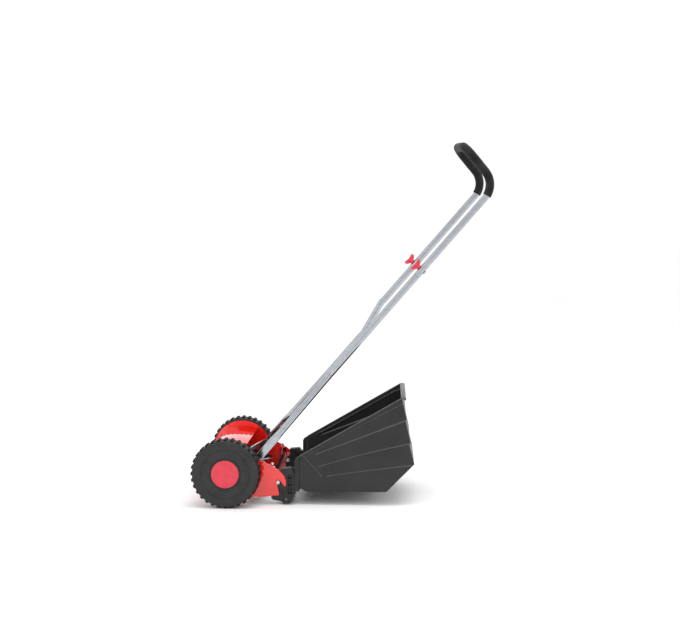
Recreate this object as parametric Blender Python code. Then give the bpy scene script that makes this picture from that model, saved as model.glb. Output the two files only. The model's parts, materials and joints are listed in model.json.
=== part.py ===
"""Hand-pushed reel mower with a rear roller, a grass catcher and a three-piece tube handle.

Units are metres, +Z is up, +X points to the rear, towards the person pushing, and -Y is the
machine's left side. Shapes are drawn in an axle frame: X = 0 at the wheel axle and Z = 0 on the
ground. One empty carries that frame to the part's own origin, the centre of its footprint.
"""

import math

import bmesh
import bpy
from mathutils import Matrix, Vector

GAP = 0.0003  # clearance between touching pieces
SIDES = (("left", -1.0), ("right", 1.0))

# Wheels and their internal gears
WHEEL_R = 0.1025
WHEEL_INNER_Y = 0.160
WHEEL_OUTER_Y = 0.2035
LUG_COUNT = 32
LUG_HEIGHT = 0.0042
LUG_SHARE = 0.5
MODULE = 0.003
RING_TEETH = 48
PINION_TEETH = 9
GEAR_OFFSET = (RING_TEETH - PINION_TEETH) * MODULE / 2
HUB_R = 0.017
STUB_R = 0.006
CAP_R = 0.0408

# Reel and bed knife
REEL_DROP = 0.0180  # reel axis below the wheel axle
REEL_X = math.sqrt(GEAR_OFFSET**2 - REEL_DROP**2)
REEL_Z = WHEEL_R - REEL_DROP
REEL_R = 0.0590
REEL_HALF = 0.1415
BLADE_COUNT = 5
BLADE_DEPTH = 0.014
BLADE_THICK = 0.002
BLADE_TWIST = math.radians(60)
BLADE_START = math.radians(125)  # angle of the first blade at the left end, where +X is 0
SHAFT_R = 0.007
KNIFE_TOP = 0.0254
KNIFE_SCREW_X, KNIFE_SCREW_Y, KNIFE_SCREW_R = 0.1327, 0.1395, 0.0025
EAR_TOP = 0.0875  # where the knife screw presses on the knife bar's ear

# Frame
PLATE_Y0 = 0.150
PLATE_Y1 = 0.153
DISC_R = 0.093
LIP_Y = 0.1573
SHEET = 0.0015

# Roller carriage: it slides along the open notch at the rear of each side plate
ROLLER_X = 0.174
ROLLER_R = 0.0165
ROD_R = 0.004
BOLT_X, BOLT_Z = 0.150, 0.069
SLIDE_DIR = Vector((-0.175, 0.0, 0.985)).normalized()
SLIDE_UP = 0.004
SLIDE_DOWN = 0.012
HOOK_X, HOOK_Z = 0.182, 0.098

# Handle: two legs in one sloping plane, then a U that is rolled slightly about its own length
HANDLE_SLOPE = math.radians(49.06)
HANDLE_X, HANDLE_Z = 0.1237, 0.178  # the point on the leg's axis at station 0
TUBE_R = 0.010
TUBE_WALL = 0.001
STRAP_Y = 0.1475
STRAP_BOLTS_AT = (-0.066, -0.085)  # distances along the leg from its station 0
STRAP_BOLT_R = 0.0030
TUBE_SCREW_AT = 0.0035
TUBE_SCREW_R = 0.0025
JOINT_SCREWS_AT = (0.284, 0.340)
JOINT_SCREW_R = 0.0020
KNOB_BOLT_R = 0.0030
LEG_HALF = 0.087
HANDLE_ROLL = math.radians(6.3)
SPIGOT_R = TUBE_R - TUBE_WALL - GAP
MOUTH_AT = -0.045
LOWER_JOINT_AT = 0.2713
LOWER_SPIGOT_END = 0.352
UPPER_JOINT_AT = 0.664
UPPER_SPIGOT_END = 0.712
KNOB_AT = 0.6865
ELBOW_AT = 0.965
ELBOW_R = 0.060
ELBOW_TURN = math.radians(81)
ARM_LENGTH = 0.0941
CORNER_R = 0.040
FOAM_R = 0.0130
FOAM_START = math.radians(9.5)

# Catcher
CATCHER_HALF = 0.150
CATCHER_WALL = 0.002
FRAME_X0, FRAME_X1 = 0.199, 0.2127

ELBOW_X = (
    HANDLE_X
    + ELBOW_AT * math.cos(HANDLE_SLOPE)
    - ELBOW_R * math.sin(HANDLE_SLOPE)
    + ELBOW_R
)
REAR_REACH = ELBOW_X + FOAM_R
AXLE_X = (WHEEL_R - REAR_REACH) / 2  # puts the origin under the middle of the machine

COLOURS = {
    "red_paint": ((0.78, 0.035, 0.03), 0.28, 0.0),
    "zinc": ((0.70, 0.71, 0.73), 0.28, 1.0),
    "steel": ((0.55, 0.55, 0.56), 0.35, 1.0),
    "dark_steel": ((0.03, 0.03, 0.032), 0.45, 0.3),
    "wheel_plastic": ((0.040, 0.040, 0.042), 0.6, 0.0),
    "red_plastic": ((0.72, 0.06, 0.08), 0.45, 0.0),
    "black_plastic": ((0.018, 0.018, 0.019), 0.5, 0.0),
    "catcher_plastic": ((0.038, 0.038, 0.038), 0.55, 0.0),
    "foam": ((0.015, 0.015, 0.016), 0.95, 0.0),
    "bronze": ((0.55, 0.40, 0.20), 0.4, 1.0),
}


# ---------------------------------------------------------------- general helpers


def clear_scene():
    for thing in list(bpy.data.objects):
        bpy.data.objects.remove(thing, do_unlink=True)


def material(name):
    found = bpy.data.materials.get(name)
    if found:
        return found
    colour, roughness, metallic = COLOURS[name]
    made = bpy.data.materials.new(name)
    made.use_nodes = True
    shader = made.node_tree.nodes["Principled BSDF"]
    shader.inputs["Base Color"].default_value = (*colour, 1.0)
    shader.inputs["Roughness"].default_value = roughness
    shader.inputs["Metallic"].default_value = metallic
    return made


def empty(name, matrix, parent=None):
    made = bpy.data.objects.new(name, None)
    bpy.context.collection.objects.link(made)
    made.parent = parent
    made.matrix_local = matrix
    return made


def piece(name, bm, look, parent, location=(0, 0, 0)):
    """Turn a bmesh into the named object, with its normals out and round faces smooth."""
    bmesh.ops.recalc_face_normals(bm, faces=bm.faces)
    mesh = bpy.data.meshes.new(name)
    bm.to_mesh(mesh)
    bm.free()
    mesh.shade_smooth()
    mesh.set_sharp_from_angle(angle=math.radians(30))
    if look:
        mesh.materials.append(material(look))
    made = bpy.data.objects.new(name, mesh)
    bpy.context.collection.objects.link(made)
    made.parent = parent
    made.location = location
    return made


def combine(target, tool_bm, operation="DIFFERENCE"):
    """Cut the tool from the target, or join it on. The tool shares the target's own axes."""
    tool = piece(f"{target.name}_tool_{len(target.modifiers)}", tool_bm, None, target.parent)
    tool.location = target.location
    tool.hide_render = True
    tool.display_type = "WIRE"
    step = target.modifiers.new(operation.lower(), "BOOLEAN")
    step.operation = operation
    step.solver = "EXACT"
    step.object = tool


# ---------------------------------------------------------------- shape helpers


def circle(cx, cz, radius, steps, start=0.0):
    turn = math.tau / steps
    return [
        (cx + radius * math.cos(start + turn * k), cz + radius * math.sin(start + turn * k))
        for k in range(steps)
    ]


def arc(cx, cz, radius, first, last, steps):
    return [
        (
            cx + radius * math.cos(first + (last - first) * k / steps),
            cz + radius * math.sin(first + (last - first) * k / steps),
        )
        for k in range(steps + 1)
    ]


def prism(outlines, y0, y1):
    """A closed slab between y0 and y1. The first XZ outline is its edge, the others are holes."""
    bm = bmesh.new()
    edges = []
    for outline in outlines:
        ring = [bm.verts.new((x, y0, z)) for x, z in outline]
        edges += [bm.edges.new(pair) for pair in zip(ring, ring[1:] + ring[:1])]
    bmesh.ops.triangle_fill(bm, use_beauty=True, use_dissolve=False, edges=edges)
    grown = bmesh.ops.extrude_face_region(bm, geom=bm.faces[:])["geom"]
    moved = [item for item in grown if isinstance(item, bmesh.types.BMVert)]
    bmesh.ops.translate(bm, verts=moved, vec=(0, y1 - y0, 0))
    return bm


def block(low, high):
    """A box between two corners."""
    (x0, y0, z0), (x1, y1, z1) = low, high
    return prism([[(x0, z0), (x1, z0), (x1, z1), (x0, z1)]], y0, y1)


def turned(profile, steps, half_step=False):
    """A solid turned about the local Y axis from (radius, y) points; radius 0 closes on it."""
    bm = bmesh.new()
    start = math.pi / steps if half_step else 0.0
    ring = [bm.verts.new((r * math.cos(start), y, r * math.sin(start))) for r, y in profile]
    pairs = list(zip(ring, ring[1:]))
    if profile[0][0] > 0 or profile[-1][0] > 0:
        pairs.append((ring[-1], ring[0]))
    edges = [bm.edges.new(pair) for pair in pairs]
    bmesh.ops.spin(
        bm,
        geom=ring + edges,
        cent=(0, 0, 0),
        axis=(0, 1, 0),
        angle=math.tau,
        steps=steps,
        use_merge=True,
    )
    bmesh.ops.remove_doubles(bm, verts=bm.verts, dist=1e-7)
    return bm


def sided(profile, sign):
    """A turned profile given for +Y, carried to the side that sign names."""
    return [(r, sign * y) for r, y in profile]


def moved_bm(bm, matrix):
    bmesh.ops.transform(bm, matrix=matrix, verts=bm.verts)
    return bm


def section(half_n, half_b, power, steps):
    """Offsets of a tube's section: a circle at power 2, flatter sides at a higher power."""
    ring = []
    for k in range(steps):
        c = math.cos(math.tau * k / steps)
        s = math.sin(math.tau * k / steps)
        ring.append(
            (
                half_n * math.copysign(abs(c) ** (2 / power), c),
                half_b * math.copysign(abs(s) ** (2 / power), s),
            )
        )
    return ring


def frames_along(points, up):
    """For each point, the two directions across the path, turned as little as possible."""
    frames = []
    across = up
    for k, point in enumerate(points):
        before = points[max(k - 1, 0)]
        after = points[min(k + 1, len(points) - 1)]
        ahead = (after - before).normalized()
        across = (across - across.dot(ahead) * ahead).normalized()
        frames.append((across.copy(), ahead.cross(across)))
    return frames


def hollow_tube(stations, up, steps=10):
    """A pipe open at both ends. Each station is (point, half_n, half_b, wall, power)."""
    bm = bmesh.new()
    frames = frames_along([station[0] for station in stations], up)
    walls = []
    for inside in (False, True):
        rings = []
        for (point, half_n, half_b, wall, power), (n_dir, b_dir) in zip(stations, frames):
            less = wall if inside else 0.0
            shape = section(half_n - less, half_b - less, power, steps)
            rings.append([bm.verts.new(point + n * n_dir + b * b_dir) for n, b in shape])
        for lower, upper in zip(rings, rings[1:]):
            for k in range(steps):
                after = (k + 1) % steps
                bm.faces.new((lower[k], lower[after], upper[after], upper[k]))
        walls.append(rings)
    for end in (0, -1):
        outer, inner = walls[0][end], walls[1][end]
        for k in range(steps):
            after = (k + 1) % steps
            bm.faces.new((outer[k], outer[after], inner[after], inner[k]))
    return bm


def round_stations(points, radius, wall):
    return [(point, radius, radius, wall, 2.0) for point in points]


def along_y(low, high, radius, x, z, steps=10):
    """A plain pin or drill along Y, between two Y values, its axis at (x, z)."""
    bm = turned([(0, low), (radius, low), (radius, high), (0, high)], steps)
    return moved_bm(bm, Matrix.Translation((x, 0, z)))


# ---------------------------------------------------------------- wheels and drive


def lugged_outline():
    """Wheel edge: flat-topped lugs, one of them square on the ground."""
    pitch = math.tau / LUG_COUNT
    half = pitch * LUG_SHARE / 2
    base = WHEEL_R - LUG_HEIGHT
    tip = WHEEL_R / math.cos(half * 0.8)
    outline = []
    for k in range(LUG_COUNT):
        middle = -math.pi / 2 + pitch * k
        for radius, angle in ((base, -half), (tip, -half * 0.8), (tip, half * 0.8), (base, half)):
            outline.append((radius * math.cos(middle + angle), radius * math.sin(middle + angle)))
    return outline


def toothed(teeth, first, root_r, root_half, tip_r, tip_half):
    """A gear outline: straight-flanked teeth, the first one centred on the angle given."""
    pitch = math.tau / teeth
    outline = []
    for k in range(teeth):
        middle = first + pitch * k
        for radius, angle in (
            (root_r, -root_half / root_r),
            (tip_r, -tip_half / tip_r),
            (tip_r, tip_half / tip_r),
            (root_r, root_half / root_r),
        ):
            outline.append((radius * math.cos(middle + angle), radius * math.sin(middle + angle)))
    return outline


def mesh_angle():
    """Direction from the wheel axle to the reel axis, where the teeth meet."""
    return math.atan2(-REEL_DROP, REEL_X)


def make_wheel(side, sign, axle):
    pitch_r = RING_TEETH * MODULE / 2
    inner, outer = sign * WHEEL_INNER_Y, sign * WHEEL_OUTER_Y
    edge = lugged_outline()
    bore = circle(0, 0, STUB_R + GAP, 16)
    wheel = piece(f"wheel_{side}", prism([edge, bore], inner, outer), "wheel_plastic", axle)
    ring = toothed(
        RING_TEETH,
        mesh_angle(),
        pitch_r - 0.8 * MODULE,
        0.0034,
        pitch_r + 0.95 * MODULE,
        0.0022,
    )
    boss = circle(0, 0, HUB_R, 16)
    combine(wheel, prism([ring, boss], sign * 0.159, sign * 0.181))
    deep = [
        (HUB_R + 0.001, 0.180),
        (0.0680, 0.180),
        (0.0680, 0.1980),
        (0.0440, 0.1980),
        (0.0440, 0.1865),
        (HUB_R + 0.001, 0.1865),
    ]
    combine(wheel, turned(sided(deep, sign), 24))
    groove = [(0.0805, 0.159), (0.0915, 0.159), (0.0915, 0.1965), (0.0805, 0.1965)]
    combine(wheel, turned(sided(groove, sign), 24))
    well = [(0, 0.1925), (0.0398, 0.1925), (0.0398, 0.210), (0, 0.210)]
    combine(wheel, turned(sided(well, sign), 32))


def make_hub_cap(side, sign, axle):
    profile = [
        (0, 0.2062),
        (0.0370, 0.2060),
        (CAP_R, 0.2044),
        (CAP_R, WHEEL_OUTER_Y + GAP),
        (0.0394, WHEEL_OUTER_Y + GAP),
        (0.0394, 0.1985),
        (0.0376, 0.1985),
        (0.0376, 0.2042),
        (0, 0.2042),
    ]
    piece(f"hub_cap_{side}", turned(sided(profile, sign), 24), "red_plastic", axle)


def make_axle_stub(side, sign, axle):
    """Shoulder pin riveted through the side plate; its head keeps the wheel on."""
    profile = [
        (0, 0.1455),
        (0.008, 0.1455),
        (0.008, PLATE_Y0 - GAP),
        (0.0043, PLATE_Y0 - GAP),
        (0.0043, PLATE_Y1 + GAP),
        (0.009, PLATE_Y1 + GAP),
        (0.009, 0.1595),
        (STUB_R, 0.1595),
        (STUB_R, 0.1928),
        (0.011, 0.1928),
        (0.011, 0.1970),
        (0, 0.1970),
    ]
    piece(f"axle_stub_{side}", turned(sided(profile, sign), 12), "steel", axle)


def ratchet_bore(notches=6, steps=3):
    """Saw-toothed bore that the pawl catches when the wheel drives forwards."""
    low, high = SHAFT_R + GAP, 0.0090
    outline = []
    for k in range(notches):
        for step in range(steps + 1):
            share = step / steps
            angle = math.tau * (k + 0.98 * share) / notches
            radius = low + (high - low) * share
            outline.append((radius * math.cos(angle), radius * math.sin(angle)))
    return outline


def make_pinion(side, sign, reel_axis):
    pitch_r = PINION_TEETH * MODULE / 2
    edge = toothed(
        PINION_TEETH,
        mesh_angle(),
        pitch_r - 0.95 * MODULE,
        0.0027,
        pitch_r + 0.75 * MODULE,
        0.0011,
    )
    bm = prism([edge, ratchet_bore()], sign * 0.1615, sign * 0.1775)
    piece(f"drive_pinion_{side}", bm, "dark_steel", reel_axis)


def make_pawl(side, sign, reel_axis):
    half = SHAFT_R - GAP
    low = (-half, min(sign * 0.1655, sign * 0.1715), -0.0015)
    high = (half, max(sign * 0.1655, sign * 0.1715), 0.0015)
    piece(f"drive_pawl_{side}", block(low, high), "steel", reel_axis)


# ---------------------------------------------------------------- reel


def make_reel_shaft(reel_axis):
    profile = [(0, -0.178), (SHAFT_R, -0.178), (SHAFT_R, 0.178), (0, 0.178)]
    shaft = piece("reel_shaft", turned(profile, 12), "dark_steel", reel_axis)
    reach = SHAFT_R * 1.5
    for _, sign in SIDES:
        y0, y1 = sorted((sign * (0.1655 - GAP), sign * (0.1715 + GAP)))
        combine(shaft, block((-reach, y0, -0.0015 - GAP), (reach, y1, 0.0015 + GAP)))


def blade_angle(index, y):
    """Angle of one blade at a distance y along the reel."""
    share = (y + REEL_HALF) / (2 * REEL_HALF)
    return BLADE_START + math.tau * index / BLADE_COUNT - BLADE_TWIST * share


def make_blade(index, reel_axis, steps=14):
    bm = bmesh.new()
    inner, half = REEL_R - BLADE_DEPTH, BLADE_THICK / 2
    rings = []
    for k in range(steps + 1):
        y = -REEL_HALF + 2 * REEL_HALF * k / steps
        angle = blade_angle(index, y)
        out = Vector((math.cos(angle), 0, math.sin(angle)))
        side = Vector((-math.sin(angle), 0, math.cos(angle)))
        reach = math.sqrt(REEL_R**2 - half**2)
        corners = ((inner, -half), (reach, -half), (reach, half), (inner, half))
        rings.append([bm.verts.new(r * out + s * side + Vector((0, y, 0))) for r, s in corners])
    for lower, upper in zip(rings, rings[1:]):
        for k in range(4):
            after = (k + 1) % 4
            bm.faces.new((lower[k], lower[after], upper[after], upper[k]))
    bm.faces.new(rings[0])
    bm.faces.new(rings[-1])
    piece(f"reel_blade_{index + 1}", bm, "dark_steel", reel_axis)


def make_spider(name, y, reel_axis):
    """Pressed five-armed disc with a hub; each arm's tip carries one blade."""
    tip = REEL_R - BLADE_DEPTH - GAP
    half_root, half_tip = 0.0085, 0.0050
    valley = 0.0165
    edge = []
    for k in range(BLADE_COUNT):
        middle = blade_angle(k, y)
        for radius, off in ((valley, -half_root), (tip, -half_tip), (tip, half_tip), (valley, half_root)):
            reach = math.sqrt(radius**2 - off**2)
            edge.append(
                (
                    reach * math.cos(middle) - off * math.sin(middle),
                    reach * math.sin(middle) + off * math.cos(middle),
                )
            )
    bore = circle(0, 0, SHAFT_R + GAP, 12)
    spider = piece(name, prism([edge, bore], y - 0.0015, y + 0.0015), "dark_steel", reel_axis)
    hub = prism([circle(0, 0, 0.0125, 12), bore], y - 0.006, y + 0.006)
    combine(spider, hub, "UNION")


def make_bearing(side, sign, reel_axis):
    profile = [
        (SHAFT_R + GAP, 0.1445),
        (0.019, 0.1445),
        (0.019, PLATE_Y0 - GAP),
        (0.0152, PLATE_Y0 - GAP),
        (0.0152, 0.1575),
        (SHAFT_R + GAP, 0.1575),
    ]
    piece(f"reel_bearing_{side}", turned(sided(profile, sign), 16), "bronze", reel_axis)


# ---------------------------------------------------------------- frame


def on_slide(x, z, along, out):
    """A point moved along the carriage's slide, and out to its rear side."""
    rear = Vector((SLIDE_DIR.z, 0, -SLIDE_DIR.x))
    return (
        x + SLIDE_DIR.x * along + rear.x * out,
        z + SLIDE_DIR.z * along + rear.z * out,
    )


def rear_plate_outline():
    """Tail of the side plate: sloping top, hooked finger, and the notch the bolt slides in."""
    notch_r = 0.0034
    tilt = math.atan2(SLIDE_DIR.z, SLIDE_DIR.x)
    notch_top = on_slide(BOLT_X, BOLT_Z, SLIDE_UP + GAP, 0)
    notch = arc(*notch_top, notch_r, tilt - math.radians(70), tilt + math.pi / 2, 6)
    return [
        (0.080, 0.1310),
        (0.104, 0.1325),
        (0.126, 0.1215),
        (0.148, 0.1080),
        (0.160, 0.0985),
        (0.169, 0.0870),
        (0.1735, 0.0750),
        (0.1740, 0.0650),
        (0.1720, 0.0565),
        (0.1680, 0.0575),
        (0.1630, 0.0660),
        (0.1560, 0.0735),
        *notch,
        on_slide(BOLT_X, BOLT_Z, -0.0390, -notch_r),
        (0.110, 0.0245),
        (0.052, 0.0225),
        (0.0480, 0.0420),
        (0.0765, 0.0800),
        (0.0765, 0.1000),
    ]


def make_side_plate(side, sign, datum):
    y0, y1 = sign * PLATE_Y0, sign * PLATE_Y1
    disc = [
        (0, PLATE_Y0),
        (DISC_R, PLATE_Y0),
        (DISC_R, LIP_Y),
        (DISC_R - 0.0025, LIP_Y),
        (DISC_R - 0.0025, PLATE_Y1),
        (0, PLATE_Y1),
    ]
    disc_bm = moved_bm(turned(sided(disc, sign), 40), Matrix.Translation((0, 0, WHEEL_R)))
    plate = piece(f"side_plate_{side}", disc_bm, "red_paint", datum)
    combine(plate, prism([rear_plate_outline()], y0, y1), "UNION")
    tab_y0, tab_y1 = sorted((sign * 0.133, sign * (PLATE_Y0 + 0.001)))
    combine(plate, block((0.1255, tab_y0, 0.1100), (0.1400, tab_y1, 0.1128)), "UNION")
    drill = sorted((sign * 0.140, sign * 0.170))
    combine(plate, along_y(*drill, 0.0155, REEL_X, REEL_Z, 24))
    combine(plate, along_y(*drill, 0.0046, 0, WHEEL_R))
    for station in STRAP_BOLTS_AT:
        x, z = leg_point(station)
        combine(plate, along_y(*drill, STRAP_BOLT_R + GAP, x, z))
    hole = turned([(0, 0.10), (KNIFE_SCREW_R + GAP, 0.10), (KNIFE_SCREW_R + GAP, 0.12), (0, 0.12)], 12)
    combine(plate, moved_bm(hole, upright(KNIFE_SCREW_X, sign * KNIFE_SCREW_Y)))


def make_top_cover(datum):
    """Bent sheet over the top and front of the reel, welded between the side plates."""
    spine = [
        (0.0500, 0.1710),
        (0.0350, 0.1750),
        (0.0170, 0.1772),
        (-0.0030, 0.1775),
        (-0.0220, 0.1757),
        (-0.0410, 0.1705),
        (-0.0570, 0.1610),
        (-0.0690, 0.1480),
        (-0.0760, 0.1320),
        (-0.0785, 0.1160),
        (-0.0775, 0.1000),
    ]
    under = []
    for k, (x, z) in enumerate(spine):
        before, after = spine[max(k - 1, 0)], spine[min(k + 1, len(spine) - 1)]
        ahead = Vector((after[0] - before[0], after[1] - before[1])).normalized()
        under.append((x - ahead.y * SHEET, z + ahead.x * SHEET))
    half = PLATE_Y0 - GAP
    piece("top_cover", prism([spine + under[::-1]], -half, half), "red_paint", datum)


def upright(x, y):
    """Carries a shape turned about Y to a vertical axis at (x, y), its Y becoming Z."""
    return Matrix.Translation((x, y, 0)) @ Matrix.Rotation(math.pi / 2, 4, "X")


def make_knife_bar(datum):
    """Angle bar under the reel, with an ear at each end that an adjusting screw presses on."""
    half = PLATE_Y0 - GAP - 0.0002
    angle = [
        (0.0735, 0.0246),
        (0.0990, 0.0246),
        (0.0990, 0.0400),
        (0.0960, 0.0400),
        (0.0960, 0.0276),
        (0.0735, 0.0276),
    ]
    bar = piece("knife_bar", prism([angle], -half, half), "dark_steel", datum)
    ear = [
        (0.0940, 0.0260),
        (0.1040, 0.0280),
        (0.1190, 0.0400),
        (0.1290, 0.0600),
        (0.1385, 0.0820),
        (0.1385, EAR_TOP),
        (0.1270, EAR_TOP),
        (0.1190, 0.0640),
        (0.1100, 0.0480),
        (0.0940, 0.0380),
    ]
    for _, sign in SIDES:
        combine(bar, prism([ear], sign * 0.1365, sign * 0.1425), "UNION")


def make_bed_knife(datum):
    edge = [
        (0.0620, 0.0215),
        (0.0900, 0.0215),
        (0.0900, 0.0243),
        (0.0700, 0.0243),
        (0.0650, KNIFE_TOP),
        (0.0620, KNIFE_TOP),
    ]
    half = PLATE_Y0 - 0.0010
    piece("bed_knife", prism([edge], -half, half), "steel", datum)


def make_knife_screw(side, sign, datum):
    profile = [
        (0, EAR_TOP + GAP),
        (KNIFE_SCREW_R, EAR_TOP + GAP),
        (KNIFE_SCREW_R, 0.1190),
        (0.0048, 0.1190),
        (0.0048, 0.1240),
        (0, 0.1240),
    ]
    bm = moved_bm(turned(profile, 12), upright(KNIFE_SCREW_X, sign * KNIFE_SCREW_Y))
    piece(f"knife_screw_{side}", bm, "steel", datum)


# ---------------------------------------------------------------- roller carriage


def make_roller_bracket(side, sign, carriage):
    """Plastic bracket: a thin plate clamped inside the side plate, and a block that holds the rod."""
    plate = [
        (0.1430, 0.0600),
        (0.1412, 0.0680),
        (0.1430, 0.0765),
        (0.1510, 0.0800),
        (0.1600, 0.0880),
        (0.1750, 0.0920),
        (0.1750, 0.0200),
        (0.1600, 0.0110),
        (0.1350, 0.0150),
        (0.1285, 0.0215),
        (0.1310, 0.0300),
        (0.1430, 0.0340),
    ]
    solid = [
        (0.1580, 0.0130),
        (0.1580, 0.1085),
        (0.1880, 0.1115),
        (0.1960, 0.1020),
        (0.1985, 0.0600),
        (0.1975, 0.0300),
        (0.1900, 0.0120),
        (0.1830, 0.0050),
        (0.1660, 0.0050),
    ]
    y_out = PLATE_Y0 - GAP
    bm = prism([plate], sign * 0.1437, sign * y_out)
    bracket = piece(f"roller_bracket_{side}", bm, "black_plastic", carriage)
    combine(bracket, prism([solid], sign * 0.128, sign * y_out), "UNION")
    hook_pin = along_y(*sorted((sign * 0.114, sign * 0.130)), 0.0040, HOOK_X, HOOK_Z, 16)
    combine(bracket, hook_pin, "UNION")
    drill = sorted((sign * 0.120, sign * 0.160))
    combine(bracket, along_y(*drill, ROD_R + GAP, ROLLER_X, ROLLER_R))
    combine(bracket, along_y(*drill, 0.0033, BOLT_X, BOLT_Z))


def make_height_bolt(side, sign, carriage):
    profile = [
        (0, 0.1345),
        (0.0030, 0.1345),
        (0.0030, PLATE_Y1 + GAP),
        (0.0060, PLATE_Y1 + GAP),
        (0.0055, 0.1560),
        (0.0035, 0.1575),
        (0, 0.1578),
    ]
    place = (BOLT_X, 0, BOLT_Z)
    piece(f"height_bolt_{side}", turned(sided(profile, sign), 16), "steel", carriage, place)


def make_height_nut(side, sign, carriage):
    outlines = [circle(0, 0, 0.0065, 6), circle(0, 0, 0.0033, 12)]
    bm = prism(outlines, sign * 0.1380, sign * (0.1437 - GAP))
    piece(f"height_nut_{side}", bm, "steel", carriage, (BOLT_X, 0, BOLT_Z))


def make_roller(carriage):
    steps = 20
    outer = ROLLER_R / math.cos(math.pi / steps)
    half = 0.1265
    profile = [(ROD_R + GAP, -half), (outer, -half), (outer, half), (ROD_R + GAP, half)]
    place = (ROLLER_X, 0, ROLLER_R)
    piece("roller", turned(profile, steps, True), "black_plastic", carriage, place)
    rod = turned([(0, -0.1485), (ROD_R, -0.1485), (ROD_R, 0.1485), (0, 0.1485)], 12)
    piece("roller_rod", rod, "steel", carriage, place)


# ---------------------------------------------------------------- handle


def leg_point(station, rise=0.0):
    """(x, z) on a leg's axis, or off it by rise at right angles to the slope."""
    c, s = math.cos(HANDLE_SLOPE), math.sin(HANDLE_SLOPE)
    return (HANDLE_X + station * c - rise * s, HANDLE_Z + station * s + rise * c)


def leg_vector(station, y, rise=0.0):
    x, z = leg_point(station, rise)
    return Vector((x, y, z))


def leg_rectangle(first, last, half):
    """Corners of a strip of the leg in side view."""
    return [
        leg_point(first, -half),
        leg_point(last, -half),
        leg_point(last, half),
        leg_point(first, half),
    ]


def slope_up():
    return Vector((-math.sin(HANDLE_SLOPE), 0, math.cos(HANDLE_SLOPE)))


def make_strap(side, sign, datum):
    """Flat steel strap bolted inside the side plate; the tube's flattened end slips over it."""
    holes = [circle(*leg_point(at), STRAP_BOLT_R + GAP, 12) for at in STRAP_BOLTS_AT]
    holes.append(circle(*leg_point(TUBE_SCREW_AT), TUBE_SCREW_R + GAP, 12))
    outline = leg_rectangle(-0.0945, 0.0250, 0.0088)
    bm = prism([outline, *holes], sign * 0.1456, sign * 0.1494)
    piece(f"handle_strap_{side}", bm, "steel", datum)


def make_strap_bolts(side, sign, datum):
    profile = [
        (0, 0.1428),
        (0.0052, 0.1428),
        (0.0052, 0.1456 - GAP),
        (STRAP_BOLT_R, 0.1456 - GAP),
        (STRAP_BOLT_R, PLATE_Y1 + GAP),
        (0.0045, PLATE_Y1 + GAP),
        (0.0045, 0.1560),
        (0, 0.1560),
    ]
    for label, station in zip(("upper", "lower"), STRAP_BOLTS_AT):
        x, z = leg_point(station)
        bm = turned(sided(profile, sign), 12)
        piece(f"strap_bolt_{side}_{label}", bm, "steel", datum, (x, 0, z))


def make_tube_screw(side, sign, datum):
    outer = STRAP_Y + 0.0045 + GAP
    profile = [
        (0, 0.1400),
        (TUBE_SCREW_R, 0.1400),
        (TUBE_SCREW_R, outer),
        (0.0046, outer),
        (0.0042, outer + 0.0018),
        (0.0020, outer + 0.0026),
        (0, outer + 0.0026),
    ]
    x, z = leg_point(TUBE_SCREW_AT)
    piece(f"tube_screw_{side}", turned(sided(profile, sign), 12), "steel", datum, (x, 0, z))


def make_lower_tube(side, sign, datum):
    """Flattened at the foot over the strap, then drawn in sideways to the narrow joint."""
    flat = (0.012, 0.0045, TUBE_WALL, 3.2)
    round_full = (TUBE_R, TUBE_R, TUBE_WALL, 2.0)
    spigot = (SPIGOT_R, SPIGOT_R, TUBE_WALL, 2.0)
    run = (
        (MOUTH_AT, STRAP_Y, flat),
        (0.026, STRAP_Y, flat),
        (0.038, STRAP_Y - 0.0005, (0.0112, 0.0070, TUBE_WALL, 2.4)),
        (0.052, STRAP_Y - 0.0025, round_full),
        (0.240, LEG_HALF + 0.0030, round_full),
        (0.252, LEG_HALF, round_full),
        (LOWER_JOINT_AT - 2 * GAP, LEG_HALF, round_full),
        (LOWER_JOINT_AT - GAP, LEG_HALF, spigot),
        (LOWER_SPIGOT_END, LEG_HALF, spigot),
    )
    stations = [(leg_vector(at, sign * y), *shape) for at, y, shape in run]
    tube = piece(f"lower_tube_{side}", hollow_tube(stations, slope_up()), "zinc", datum)
    x, z = leg_point(TUBE_SCREW_AT)
    drill = sorted((sign * 0.135, sign * 0.160))
    combine(tube, along_y(*drill, TUBE_SCREW_R + GAP, x, z))
    drill_joint(tube, sign)


def drill_joint(tube, sign):
    drill = sorted((sign * (LEG_HALF - 0.02), sign * (LEG_HALF + 0.02)))
    for station in JOINT_SCREWS_AT:
        x, z = leg_point(station)
        combine(tube, along_y(*drill, JOINT_SCREW_R + GAP, x, z, 8))


def u_point(station, across, rise=0.0):
    """A point given in the rolled frame of the upper handle, carried to the axle frame."""
    return handle_matrix() @ Vector((station, across, rise))


def handle_matrix():
    """Rolled frame of the upper handle: X up the legs, Y from the left leg to the right one."""
    c, s = math.cos(HANDLE_SLOPE), math.sin(HANDLE_SLOPE)
    level = Matrix(((c, 0, -s), (0, 1, 0), (s, 0, c))).to_4x4()
    place = Matrix.Translation((HANDLE_X, -LEG_HALF, HANDLE_Z))
    return place @ level @ Matrix.Rotation(HANDLE_ROLL, 4, "X")


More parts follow.
